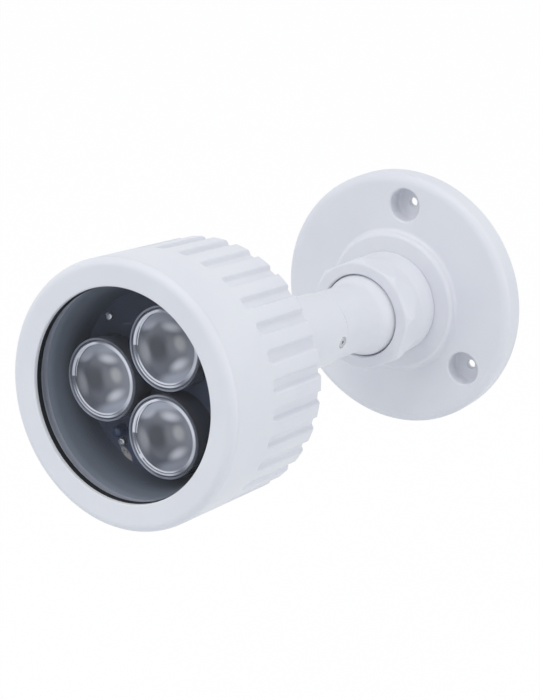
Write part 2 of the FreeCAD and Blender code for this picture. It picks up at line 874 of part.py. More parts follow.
def capacitor():
    """Round can capacitor with a rolled groove near its foot."""
    groove_foot = -capacitor_groove_height
    groove_top = groove_foot - capacitor_groove_width
    groove_radius = capacitor_radius - capacitor_groove_depth
    body = turned([
        (0, -capacitor_height),
        (capacitor_radius, -capacitor_height, edge_break),
        (capacitor_radius, groove_top),
        (groove_radius, groove_top),
        (groove_radius, groove_foot),
        (capacitor_radius, groove_foot),
        (capacitor_radius, 0),
        (0, 0),
    ])
    return moved_to(body, driver_parts_offset, capacitor_angle, driver_back)


def wire_connector():
    """Two-way push-in connector for the supply wires."""
    width, _, height = connector_size
    body = block(connector_size, driver_parts_offset, connector_angle, driver_back - height)
    well = block(connector_well_size, driver_parts_offset, connector_angle, driver_back - height)
    for side in (-1, 1):
        body = body.cut(moved_to(well, side * width / 4, connector_angle + 90, 0))
    return body


def driver_chip():
    """Flat driver circuit."""
    return block(chip_size, driver_parts_offset, chip_angle, driver_back - chip_size[2])


def build():
    """Write every piece."""
    os.makedirs("parts", exist_ok=True)
    bracket_pieces = {
        "base_plate": base_plate(),
        "ball_seat": ball_seat(),
        "locking_collar": locking_collar(),
    }
    head_pieces = {
        "ball_stud": ball_stud(),
        "arm": arm(),
        "arm_set_screw": arm_set_screw(),
        "arm_seal": arm_seal(),
        "arm_nut": arm_nut(),
        "rear_cover": rear_cover(),
        "rear_cover_seal": rear_cover_seal(),
        "cable_grommet": cable_grommet(),
        "housing": housing(),
        "window_gasket": window_gasket(),
        "front_window": front_window(),
        "inner_liner": inner_liner(),
        "led_board": led_board(),
        "board_screws": board_screws(),
        "light_sensor": light_sensor(),
        "heat_sink": heat_sink(),
        "driver_board": driver_board(),
        "driver_board_screws": driver_board_screws(),
        "inductor": inductor(),
        "capacitor": capacitor(),
        "wire_connector": wire_connector(),
        "driver_chip": driver_chip(),
    }
    for index in range(lamp_count):
        angle = lamp_first_angle - index * 360 / lamp_count
        number = "_" + str(index + 1)
        head_pieces["led_emitter" + number] = moved_to(emitter(), lamp_circle_radius, angle, board_front)
        head_pieces["lens_holder" + number] = moved_to(lens_holder(), lamp_circle_radius, angle, board_front)
        head_pieces["lens" + number] = moved_to(lens(), lamp_circle_radius, angle, board_front)
    for name, shape in bracket_pieces.items():
        save(name, shape)
    for name, shape in head_pieces.items():
        save(name, place_in_object(shape))


build()
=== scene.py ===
"""Looks of a round three-lamp infrared illuminator on a ball-jointed wall bracket, built round its CAD frame.

Lengths in the code are millimetres, except where metres are named. In the bracket, distances run along -Y
from the wall. In the head, they run along its own axis from the ball's centre.
"""

import math

import bmesh
import bpy
import numpy as np
from bpy.props import FloatProperty, FloatVectorProperty, IntProperty, PointerProperty
from mathutils import Matrix, Vector


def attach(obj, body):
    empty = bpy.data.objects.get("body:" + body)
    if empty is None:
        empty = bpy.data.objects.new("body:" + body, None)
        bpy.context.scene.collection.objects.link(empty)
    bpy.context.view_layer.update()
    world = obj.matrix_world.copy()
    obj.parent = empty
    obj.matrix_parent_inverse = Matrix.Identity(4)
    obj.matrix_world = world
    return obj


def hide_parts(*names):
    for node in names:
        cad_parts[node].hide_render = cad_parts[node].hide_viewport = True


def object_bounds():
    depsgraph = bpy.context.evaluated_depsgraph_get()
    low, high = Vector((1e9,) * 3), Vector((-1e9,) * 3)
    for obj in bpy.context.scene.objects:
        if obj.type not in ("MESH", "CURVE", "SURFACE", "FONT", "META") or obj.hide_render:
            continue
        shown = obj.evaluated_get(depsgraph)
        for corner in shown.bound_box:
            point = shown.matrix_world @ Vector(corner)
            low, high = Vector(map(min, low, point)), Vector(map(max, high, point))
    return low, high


bl_info = {
    "name": "Infrared Illuminator",
    "version": (1, 0, 0),
    "blender": (4, 5, 0),
    "location": "View3D > Sidebar > Illuminator",
    "description": "Builds the visible pieces of an infrared illuminator and its studio",
    "category": "Object",
}

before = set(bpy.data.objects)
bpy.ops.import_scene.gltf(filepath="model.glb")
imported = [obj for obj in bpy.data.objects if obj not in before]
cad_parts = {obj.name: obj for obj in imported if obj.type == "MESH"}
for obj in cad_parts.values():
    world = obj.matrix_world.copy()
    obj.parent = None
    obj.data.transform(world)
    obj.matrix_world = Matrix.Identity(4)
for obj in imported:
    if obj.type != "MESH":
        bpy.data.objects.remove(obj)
CAD_LOW, CAD_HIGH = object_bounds()

MM = 0.001

# The ball's centre over the wall, and the head's lean and its heading about the plate's axis, in degrees
BALL_HEIGHT, LEAN, HEADING = 20.6, 4.7, 18.0
# Distances along the head's axis
ARM_START, ARM_SHOULDER, ARM_END = 24.0, 66.9, 79.0
COVER_BACK, COVER_FACE = 71.9, 74.4
BOARD_BACK, BOARD_FACE = 88.5, 90.1
LINER_MOUTH, GLASS_BACK, GLASS_FACE = 99.62, 99.7, 102.2
LIP_BACK, LIP_FACE, BEZEL_FACE = 103.4, 104.4, 104.9
# Radius of the parts that are clamped in the housing's bore
CLAMPED_RADIUS = 26.0
# Angle over which faces meet in a crease
CREASE = 35.0


# Sizes and colours that a user would change

def length(name, description, millimetres):
    """A length property, kept in metres."""
    return FloatProperty(name=name, description=description, default=millimetres * MM,
                         min=0.0, soft_max=0.2, precision=5, unit="LENGTH", subtype="DISTANCE")


def tint(name, description, red, green, blue):
    """A colour property from display values between 0 and 255."""
    return FloatVectorProperty(name=name, description=description, subtype="COLOR", size=3, min=0.0, max=1.0,
                               default=[linear(part) for part in (red, green, blue)])


def linear(level):
    """The scene-linear value of a display level between 0 and 255."""
    share = level / 255
    return share / 12.92 if share <= 0.04045 else ((share + 0.055) / 1.055) ** 2.4


class BracketSettings(bpy.types.PropertyGroup):
    """Wall plate, locking collar, ball and arm."""

    plate_radius: length("Plate radius", "Outside radius of the wall plate", 34.8)
    plate_thickness: length("Plate thickness", "Height of the plate's flat face over the wall", 6.2)
    rim_width: length("Rim width", "How far the plate's soft rim reaches over its face", 2.6)
    rim_height: length("Rim height", "How far the plate's soft rim reaches down its side", 1.9)
    step_radius: length("Step radius", "Radius of the raised step round the joint", 19.0)
    step_face: length("Step face", "Height of the step's face over the wall", 8.6)
    screw_circle: length("Screw circle", "Radius of the circle that the wall screws stand on", 26.7)
    recess_radius: length("Recess radius", "Radius of a wall screw's recess", 4.4)
    recess_edge: length("Recess edge", "Width of the soft edge round a recess", 0.6)
    hole_radius: length("Hole radius", "Radius of a wall screw's hole under its paint", 1.2)
    ball_radius: length("Ball radius", "Radius of the ball", 11.2)
    ball_height: length("Ball height", "Distance from the wall to the ball's centre", BALL_HEIGHT)
    collar_width: length("Collar width", "Distance across the collar's flats", 28.4)
    collar_corner: length("Collar corner", "Radius that the collar's corners are turned to", 15.3)
    arm_radius: length("Arm radius", "Outside radius of the arm", 9.4)
    neck_radius: length("Neck radius", "Radius of the neck on the ball", 8.9)
    neck_blend: length("Neck blend", "Radius of the hollow between the ball and its neck", 8.0)


class HeadSettings(bpy.types.PropertyGroup):
    """Housing, cover, window and lamps."""

    radius: length("Housing radius", "Outside radius of the housing", 30.2)
    bore_radius: length("Bore radius", "Inside radius of the housing", 26.2)
    opening_radius: length("Opening radius", "Radius of the bezel's opening", 23.9)
    bezel_round: length("Bezel round", "Rounding of the bezel's outer edge", 1.8)
    groove_count: IntProperty(name="Grooves", description="Number of cooling grooves",
                              default=30, min=3, max=90)
    groove_width: length("Groove width", "Width of a cooling groove", 2.4)
    groove_depth: length("Groove depth", "Depth of a cooling groove under its paint", 1.2)
    groove_slope: length("Groove slope", "How far a groove's soft walls spread", 1.0)
    holder_radius: length("Holder radius", "Outside radius of a lens holder", 9.5)
    lamp_circle: length("Lamp circle", "Radius of the circle that the lamps stand on", 11.5)


class PaintSettings(bpy.types.PropertyGroup):
    """Colours and grain of the finishes."""

    white: tint("Paint", "Colour of the white powder coat", 227, 228, 233)
    white_shade: tint("Paint shade", "Second colour of the powder coat, mottled into the first",
                      224, 225, 231)
    grain: length("Grain", "Size of the powder coat's orange peel", 0.7)
    grain_height: length("Grain height", "Height of the powder coat's orange peel", 0.012)
    # Painted light: the liner's mouth is given a lighter colour that stands in for the light falling there
    liner: tint("Liner", "Colour of the dished liner's mouth", 160, 167, 176)
    # Painted light: the window's rim is painted light grey to stand in for the lit front face of the liner
    # behind it
    border: tint("Window border", "Colour printed on the window's rim", 196, 199, 208)
    # Painted shade: the liner's foot is given a darker colour where shade falls next to the lamp board
    liner_foot: tint("Liner foot", "Colour of the dished liner next to the lamp board", 66, 72, 83)
    board: tint("Board", "Colour of the lamp board's solder mask", 65, 71, 86)
    rubber: tint("Rubber", "Colour of gaskets and seals", 15, 18, 24)
    steel: tint("Steel", "Colour of the steel screws", 176, 178, 182)


class StageSettings(bpy.types.PropertyGroup):
    """Floor, lamps and background."""

    floor_drop: length("Floor drop", "Distance from the object's lowest point to the floor", 70.0)
    key_power: FloatProperty(name="Key lamp", description="Power of the soft lamp above the front",
                             default=1.65, min=0.0, unit="POWER")
    fill_strength: FloatProperty(name="Fill", description="Strength of the soft light from all round",
                                 default=0.635, min=0.0)


# Meshes

def rotation(degrees, axis):
    """A turn about an axis through the origin."""
    return Matrix.Rotation(math.radians(degrees), 4, Vector(axis))


def at(offset, angle, distance):
    """A point beside the axis that runs along -Y."""
    turn = math.radians(angle)
    return Vector((offset * math.cos(turn), -distance, offset * math.sin(turn)))


def place_at(base, offset, angle, distance):
    """A place beside the axis, kept square to it."""
    return base @ Matrix.Translation(at(offset, angle, distance) * MM)


NORMAL = (0, -1, 0)
WALL = Matrix.Identity(4)
HEAD = (Matrix.Translation((0, -BALL_HEIGHT * MM, 0)) @ rotation(-HEADING, NORMAL)
        @ rotation(-LEAN, (1, 0, 0)) @ rotation(HEADING, NORMAL))
SET_SCREW = place_at(HEAD, 0, 0, 26.9) @ rotation(8.2, (0, 1, 0)) @ rotation(90, (0, 0, 1))


def arc_steps(before, corner, after, rounding, steps):
    """Points of the arc that rounds one corner of an outline."""
    inward = (before - corner).normalized()
    outward = (after - corner).normalized()
    half = inward.angle(outward) / 2
    along = rounding / math.tan(half)
    centre = corner + (inward + outward).normalized() * (rounding / math.sin(half))
    first = corner + inward * along - centre
    last = corner + outward * along - centre
    turn = first.angle(last)
    points = []
    for step in range(steps + 1):
        share = step / steps
        mixed = (first * math.sin((1 - share) * turn) + last * math.sin(share * turn)) / math.sin(turn)
        points.append(tuple(centre + mixed))
    return points


def outline(corners, steps=6):
    """Outline points (radius, distance) from corners (radius, distance, rounding)."""
    points = []
    flat = [Vector((corner[0], corner[1])) for corner in corners]
    for index, corner in enumerate(corners):
        if len(corner) < 3:
            points.append((corner[0], corner[1]))
            continue
        points += arc_steps(flat[index - 1], flat[index], flat[(index + 1) % len(flat)], corner[2], steps)
    return points


def arc_through(first, middle, last, steps):
    """Points on the circle arc through three points, both ends with it."""
    a, b, c = (complex(*point) for point in (first, middle, last))
    w = (c - a) / (b - a)
    centre = (b - a) * (w - abs(w) ** 2) / (2j * w.imag) + a
    start = np.angle(a - centre)
    through = (np.angle(b - centre) - start) % (2 * math.pi)
    sweep = (np.angle(c - centre) - start) % (2 * math.pi)
    if through > sweep:
        sweep -= 2 * math.pi
    radius = abs(a - centre)
    turns = [start + sweep * step / steps for step in range(steps + 1)]
    return [(centre.real + radius * math.cos(t), centre.imag + radius * math.sin(t)) for t in turns]


def quarter_round(radius, reach, face, drop, steps):
    """Points of a quarter ellipse that rises by a drop up to a face, from a radius to radius + reach."""
    points = []
    for step in range(steps + 1):
        turn = math.pi / 2 * step / steps
        points.append((radius + reach * (1 - math.cos(turn)), face - drop * (1 - math.sin(turn))))
    return points


def between(first, last, steps):
    """Points inside the straight run between two points."""
    first, last = np.array(first), np.array(last)
    return [tuple(first + (last - first) * step / steps) for step in range(1, steps)]


def ease(value, start, end):
    """0 before start, 1 after end, with a soft step between them."""
    share = min(1.0, max(0.0, (value - start) / (end - start)))
    return share * share * (3 - 2 * share)


def soft_least(first, second, blend):
    """The smaller of two lengths, eased where they are close."""
    share = max(0.0, blend - abs(first - second)) / blend
    return min(first, second) - share * share * blend / 4


def add_object(name, data, place=WALL):
    """An object at a place in the scene."""
    thing = bpy.data.objects.new(name, data)
    bpy.context.scene.collection.objects.link(thing)
    thing.matrix_world = place
    return thing


def smooth(thing, sharp):
    """Shade a mesh smooth, with creases where faces meet at more than an angle."""
    mesh = thing.data
    mesh.polygons.foreach_set("use_smooth", [True] * len(mesh.polygons))
    mesh.set_sharp_from_angle(angle=math.radians(sharp))


def make_object(name, points, faces, place=WALL, sharp=CREASE):
    """A smooth-shaded mesh object from points and faces."""
    mesh = bpy.data.meshes.new(name)
    mesh.from_pydata([tuple(c * MM for c in point) for point in points], [], faces)
    mesh.validate()
    shaped = bmesh.new()
    shaped.from_mesh(mesh)
    bmesh.ops.recalc_face_normals(shaped, faces=shaped.faces)
    shaped.to_mesh(mesh)
    shaped.free()
    thing = add_object(name, mesh, place)
    smooth(thing, sharp)
    return thing


def turned(name, points, place=WALL, segments=160):
    """Turn a closed outline of (radius, distance) about the axis along -Y."""
    rings, vertices, faces = [], [], []
    for radius, distance in points:
        if radius < 1e-5:
            rings.append([len(vertices)])
            vertices.append((0, -distance, 0))
            continue
        rings.append(list(range(len(vertices), len(vertices) + segments)))
        for index in range(segments):
            vertices.append(tuple(at(radius, 360 * index / segments, distance)))
    for first, second in zip(rings, rings[1:] + rings[:1]):
        if len(first) == 1 and len(second) == 1:
            continue
        for index in range(segments):
            after = (index + 1) % segments
            if len(first) == 1:
                faces.append((first[0], second[index], second[after]))
            elif len(second) == 1:
                faces.append((first[index], first[after], second[0]))
            else:
                faces.append((first[index], first[after], second[after], second[index]))
    return make_object(name, vertices, faces, place)


def wrapped(name, rows, place, sharp):
    """A closed surface from rows of points that run round it. The last row joins the first."""
    count = len(rows[0])
    vertices = [tuple(point) for row in rows for point in row]
    faces = []
    for row in range(len(rows)):
        following = (row + 1) % len(rows)
        for column in range(count):
            after = (column + 1) % count
            faces.append((row * count + column, row * count + after,
                          following * count + after, following * count + column))
    return make_object(name, vertices, faces, place, sharp)


def prism(name, sides, width, start, end, place, corner_angle=0.0):
    """A bar of regular section along -Y."""
    radius = width / 2 / math.cos(math.pi / sides)
    vertices = []
    for distance in (start, end):
        vertices += [tuple(at(radius, corner_angle + 360 * i / sides, distance)) for i in range(sides)]
    faces = [tuple(range(sides)), tuple(range(sides, 2 * sides))]
    for index in range(sides):
        after = (index + 1) % sides
        faces.append((index, after, sides + after, sides + index))
    return make_object(name, vertices, faces, place)


def apply_modifiers(thing):
    """Turn an object's modifiers into its mesh."""
    bpy.context.view_layer.update()
    graph = bpy.context.evaluated_depsgraph_get()
    mesh = bpy.data.meshes.new_from_object(thing.evaluated_get(graph))
    mesh.name = thing.name
    thing.modifiers.clear()
    thing.data = mesh


def cut(thing, cutters):
    """Take cutters out of an object, and remove them."""
    for cutter in cutters:
        boolean = thing.modifiers.new(cutter.name, "BOOLEAN")
        boolean.operation = "DIFFERENCE"
        boolean.solver = "EXACT"
        boolean.object = cutter
    apply_modifiers(thing)
    for cutter in cutters:
        bpy.data.objects.remove(cutter)
    smooth(thing, CREASE)


def even_shading(thing):
    """Let the large faces lead the shading, so that flats look flat and only the roundings turn."""
    weighted = thing.modifiers.new("Shading", "WEIGHTED_NORMAL")
    weighted.keep_sharp = True
    weighted.weight = 80
    apply_modifiers(thing)
    return thing


def join(name, parts, place):
    """Join several objects into one whose origin is at a place."""
    joined = bmesh.new()
    back = place.inverted()
    bpy.context.view_layer.update()
    for part in parts:
        mesh = part.data.copy()
        mesh.transform(back @ part.matrix_world)
        joined.from_mesh(mesh)
        bpy.data.meshes.remove(mesh)
        bpy.data.objects.remove(part)
    mesh = bpy.data.meshes.new(name)
    joined.to_mesh(mesh)
    joined.free()
    return add_object(name, mesh, place)


def fit(thing, body, node, material):
    """Put a piece's place into its mesh, give it its material and body, and hide the CAD node that it stands
    for.
    """
    bpy.context.view_layer.update()
    thing.data.transform(thing.matrix_world)
    thing.matrix_world = WALL
    thing.data.materials.clear()
    thing.data.materials.append(material)
    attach(thing, body)
    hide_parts(node)


def fit_turned(name, points, material, place=HEAD, segments=160):
    """A turned piece of the head that stands for the CAD node of its name."""
    thing = even_shading(turned(name, points, place, segments))
    fit(thing, "head", name, material)


# Materials

def both_ways(operation):
    """An operator's method and its reflected form, which add one Math node each."""
    return (lambda value, other: value.math(operation, value, other),
            lambda value, other: value.math(operation, other, value))


class Value:
    """A number that comes from a socket. Python's operators add the Math nodes."""

    __add__, __radd__ = both_ways("ADD")
    __sub__, __rsub__ = both_ways("SUBTRACT")
    __mul__, __rmul__ = both_ways("MULTIPLY")
    __truediv__, __rtruediv__ = both_ways("DIVIDE")
    __pow__, __rpow__ = both_ways("POWER")

    def __init__(self, shader, socket):
        self.shader = shader
        self.socket = socket

    def math(self, operation, *inputs):
        """One Math node with its inputs in order."""
        node = self.shader.node("ShaderNodeMath", {"operation": operation}, dict(enumerate(inputs)))
        return Value(self.shader, node.outputs[0])

    def __abs__(self):
        return self.math("ABSOLUTE", self)

    def __neg__(self):
        return self * -1.0

    def most(self, other):
        """The larger of two values."""
        return self.math("MAXIMUM", self, other)

    def clamped(self):
        """The value held between 0 and 1."""
        return self.math("MINIMUM", self.most(0.0), 1.0)

    def rise(self, start, end):
        """0 before start, 1 after end, and a soft step between them."""
        node = self.shader.node("ShaderNodeMapRange", {"interpolation_type": "SMOOTHSTEP"},
                                {"Value": self, "From Min": start, "From Max": end})
        return Value(self.shader, node.outputs["Result"])

    def fall(self, start, end):
        """1 before start, 0 after end, and a soft step between them."""
        return 1 - self.rise(start, end)

    def band(self, middle, half_width, soft):
        """1 within a band round a middle value, with soft edges."""
        return 1 - abs(self - middle).rise(half_width, half_width + soft)


def length_of(x, z):
    """The length of the line from (0, 0) to (x, z)."""
    return (x * x + z * z) ** 0.5


def spot(x, z, middle, half, turn, soft):
    """A mask that is 1 inside a turned ellipse, with a soft edge."""
    cosine, sine = math.cos(math.radians(turn)), math.sin(math.radians(turn))
    across, up = x - middle[0], z - middle[1]
    long = (across * cosine + up * sine) / (half[0] + soft)
    wide = (up * cosine - across * sine) / (half[1] + soft)
    return length_of(long, wide).fall(half[1] / (half[1] + soft), 1.0)


def scaled(colour, share):
    """A lighter or darker colour."""
    return [part * share for part in colour]


class Shader:
    """The nodes of one material."""

    def __init__(self, name, tree=None):
        if tree is None:
            self.material = bpy.data.materials.new(name)
            self.material.use_nodes = True
            tree = self.material.node_tree
        self.tree = tree
        self.tree.nodes.clear()

    def node(self, kind, settings=None, inputs=None):
        """Add a node: its settings first, and then the values or links of its sockets."""
        node = self.tree.nodes.new(kind)
        for key, setting in (settings or {}).items():
            setattr(node, key, setting)
        for key, given in (inputs or {}).items():
            self.feed(node.inputs[key], given)
        return node

    def feed(self, socket, given):
        """Give a socket its link or value."""
        if isinstance(given, Value):
            given = given.socket
        if isinstance(given, bpy.types.NodeSocket):
            self.tree.links.new(given, socket)
        elif socket.type == "RGBA" and len(given) == 3:
            socket.default_value = (*given, 1.0)
        else:
            socket.default_value = given

    def output(self, surface):
        """Use a shader as the surface."""
        self.node("ShaderNodeOutputMaterial", {}, {"Surface": surface})
        return self.material

    def place(self, base=WALL):
        """The place on a piece, in millimetres from a base: a vector, and its X, Y and Z."""
        coordinates = self.node("ShaderNodeTexCoord").outputs["Object"]
        moved = self.node("ShaderNodeMapping", {"vector_type": "TEXTURE"}, {
            "Vector": coordinates, "Location": base.to_translation(), "Rotation": base.to_euler(),
            "Scale": (MM, MM, MM)})
        split = self.node("ShaderNodeSeparateXYZ", {}, {0: moved.outputs[0]})
        return moved.outputs[0], *(Value(self, split.outputs[i]) for i in range(3))

    def noise(self, vector, size, detail=2.0):
        """Soft noise with features of a size in millimetres."""
        node = self.node("ShaderNodeTexNoise", {},
                         {"Vector": vector, "Scale": 1 / size, "Detail": detail, "Roughness": 0.5})
        return Value(self, node.outputs["Fac"])

    def blend(self, share, first, second):
        """Mix two colours."""
        node = self.node("ShaderNodeMix", {"data_type": "RGBA"}, {"Factor": share})
        colours = [socket for socket in node.inputs if socket.type == "RGBA"]
        for socket, colour in zip(colours, (first, second)):
            self.feed(socket, colour)
        return next(socket for socket in node.outputs if socket.type == "RGBA")

    def mixed(self, share, first, second):
        """Mix two shaders, each given as its socket."""
        return self.node("ShaderNodeMixShader", {}, {0: share, 1: first, 2: second}).outputs[0]

    def bump(self, height, distance):
        """A bump from a height of 0 to 1 that stands for a distance in millimetres."""
        node = self.node("ShaderNodeBump", {}, {"Height": height, "Distance": distance * MM, "Strength": 1.0})
        return node.outputs["Normal"]

    def principled(self, **inputs):
        """A Principled surface with the sockets given in lower case."""
        named = {key.replace("_", " ").title().replace("Ior", "IOR"): given for key, given in inputs.items()}
        return self.node("ShaderNodeBsdfPrincipled", {}, named).outputs["BSDF"]


def made_once(make):
    """Make a material when it is first asked for, and share it after that."""
    made = []

    def share(settings):
        if not made:
            made.append(make(settings))
        return made[0]
    return share


@made_once
def white_paint(settings):
    """Satin white powder coat: fine orange peel and a trace of mottling."""
    shader = Shader("white_powder_coat")
    place, *_ = shader.place()
    mottle = shader.noise(place, 16.0)
    grain = shader.noise(place, settings.grain / MM)
    colour = shader.blend(mottle.rise(0.3, 0.7), settings.white, settings.white_shade)
    return shader.output(shader.principled(
        base_color=colour, roughness=0.4 + mottle * 0.06 + grain * 0.06, ior=1.45,
        normal=shader.bump(grain, settings.grain_height / MM)))


@made_once
def rubber(settings):
    """Matt black rubber with a fine moulded grain."""
    shader = Shader("black_rubber")
    place, *_ = shader.place()
    grain = shader.noise(place, 0.25, detail=3.0)
    colour = shader.blend(grain, scaled(settings.rubber, 0.7), scaled(settings.rubber, 1.4))
    return shader.output(shader.principled(
        base_color=colour, roughness=0.55 + grain * 0.25, normal=shader.bump(grain, 0.02)))


def steel(settings, name="zinc_plated_steel", brightness=1.0, roughness=0.3):
    """Plated steel with turning marks and dull patches."""
    shader = Shader(name)
    place, *_ = shader.place()
    patches = shader.noise(place, 1.4, detail=4.0)
    marks = shader.noise(place, 0.12)
    light = [min(1.0, part) for part in scaled(settings.steel, brightness)]
    return shader.output(shader.principled(
        base_color=shader.blend(patches, scaled(light, 0.72), light), metallic=1.0,
        roughness=roughness + patches * 0.15 + marks * 0.1, normal=shader.bump(marks, 0.004)))


def plain_plastic(name, dark, bright, roughness):
    """Moulded plastic with a fine grain between two colours."""
    shader = Shader(name)
    place, *_ = shader.place()
    grain = shader.noise(place, 0.5, detail=3.0)
    return shader.output(shader.principled(
        base_color=shader.blend(grain, dark, bright), roughness=roughness + grain * 0.15,
        normal=shader.bump(grain, 0.01)))


def liner_colour_and_painted_light(settings):
    """Satin grey liner, with painted light that lightens its mouth and painted shade that darkens it towards
    the board.
    """
    shader = Shader("dark_liner")
    place, _, along, _ = shader.place(HEAD)
    grain = shader.noise(place, 2.0, detail=3.0)
    # Painted shade darkens the dish towards the board, and painted light lightens it at its mouth
    colour = shader.blend((-along).rise(BOARD_FACE + 0.5, 98.5),
                          settings.liner_foot, scaled(settings.liner, 0.72))
    colour = shader.blend((-along).rise(97.0, 99.3), colour, settings.liner)
    return shader.output(shader.principled(
        base_color=colour, roughness=0.3 + grain * 0.1, ior=1.55, normal=shader.bump(grain, 0.006)))


def board_colour_and_painted_light(settings):
    """Lamp board: dark blue solder mask with a few tracks, a silk line and a tan streak of flux, and painted
    light that lightens it towards its lower left and its right.
    """
    shader = Shader("lamp_board")
    place, x, _, z = shader.place(HEAD)
    cloud = shader.noise(place, 3.0)
    radius = length_of(x, z)
    tracks = radius.band(15.2, 0.35, 0.15) * x.rise(-9.0, -7.0) + radius.band(20.2, 0.3, 0.15)
    silk = (spot(x, z, (-9.5, 11.9), (1.8, 0.12), 16.0, 0.12) * 0.35
            + spot(x, z, (-19.5, -11.3), (0.7, 0.3), 30.0, 0.3) * 0.4)
    flux = spot(x, z, (-8.8, -18.2), (2.4, 0.6), -42.0, 0.4) * shader.noise(place, 0.7).rise(0.2, 0.55)
    colour = shader.blend(cloud, scaled(settings.board, 0.85), scaled(settings.board, 1.1))
    for mask, tone in (
        # Painted light: the board is lighter towards its lower left and towards its right
        ((x * -0.8 - z * 0.6).rise(2.0, 18.0), scaled(settings.board, 1.5)),
        (x.rise(2.0, 8.0), scaled(settings.board, 1.6)),
        (tracks.clamped() * 0.12, scaled(settings.board, 2.0)),
        (silk.clamped(), (0.2, 0.22, 0.26)),
        (flux * 0.85, (0.6, 0.55, 0.5)),
    ):
        colour = shader.blend(mask, colour, tone)
    return shader.output(shader.principled(
        base_color=colour, roughness=0.5 + cloud * 0.1, specular_ior_level=0.15,
        normal=shader.bump(tracks, 0.02)))


def window_glass(settings):
    """Clear glass with a light grey border on its rim, painted light that stands in for the lit front face of
    the liner behind it, and a gloss that grows towards the edge of sight.
    """
    shader = Shader("clear_window")
    place, x, _, z = shader.place(HEAD)
    smear = shader.noise(place, 12.0, detail=3.0)
    gloss = shader.node("ShaderNodeBsdfGlossy", {}, {"Color": (1, 1, 1), "Roughness": 0.02 + smear * 0.05})
    clear = shader.node("ShaderNodeBsdfTransparent", {}, {"Color": (0.97, 0.98, 1.0)})
    facing = Value(shader, shader.node("ShaderNodeLayerWeight", {}, {"Blend": 0.5}).outputs["Facing"])
    glass = shader.mixed(facing ** 5.0 * 0.9 + 0.008, clear.outputs[0], gloss.outputs[0])
    border = shader.principled(base_color=settings.border, roughness=0.4)
    # Painted light: the light grey border on the rim stands in for the lit front face of the liner behind it
    return shader.output(shader.mixed(length_of(x, z).rise(24.05, 24.2), glass, border))


def holder_plastic(base):
    """Smoky plastic of a lens holder: painted shade darkens its foot and its right side, a painted highlight
    runs along the left of its rim, and it is lighter towards its lower left edge.
    """
    shader = Shader("smoky_holder")
    place, x, along, z = shader.place(base)
    cloud = shader.noise(place, 1.2, detail=3.0)
    height = (-along).rise(2.5, 5.9)
    lower_left_lighter = spot(x, z, (-6.2, -5.6), (4.0, 2.2), -48.0, 3.0)
    # Painted shade: the side darkens towards the right, and the foot is darker still
    shade = (x * 0.95 + z * 0.3).rise(-2.0, 7.0)
    # Painted highlight: a light line along the left of the rim
    edge = length_of(x, z).band(9.33, 0.05, 0.08)
    side = shader.blend(shade, (0.22, 0.23, 0.27), (0.08, 0.084, 0.1))
    colour = shader.blend(height, (0.055, 0.062, 0.085), side)
    colour = shader.blend(lower_left_lighter * height * (0.5 + cloud * 0.5), colour, (0.42, 0.43, 0.48))
    colour = shader.blend(edge * height * (1 - shade) * 0.4, colour, (0.6, 0.62, 0.66))
    return shader.output(shader.principled(
        base_color=colour, roughness=0.2 + cloud * 0.1, specular_ior_level=0.4,
        normal=shader.bump(cloud, 0.02)))


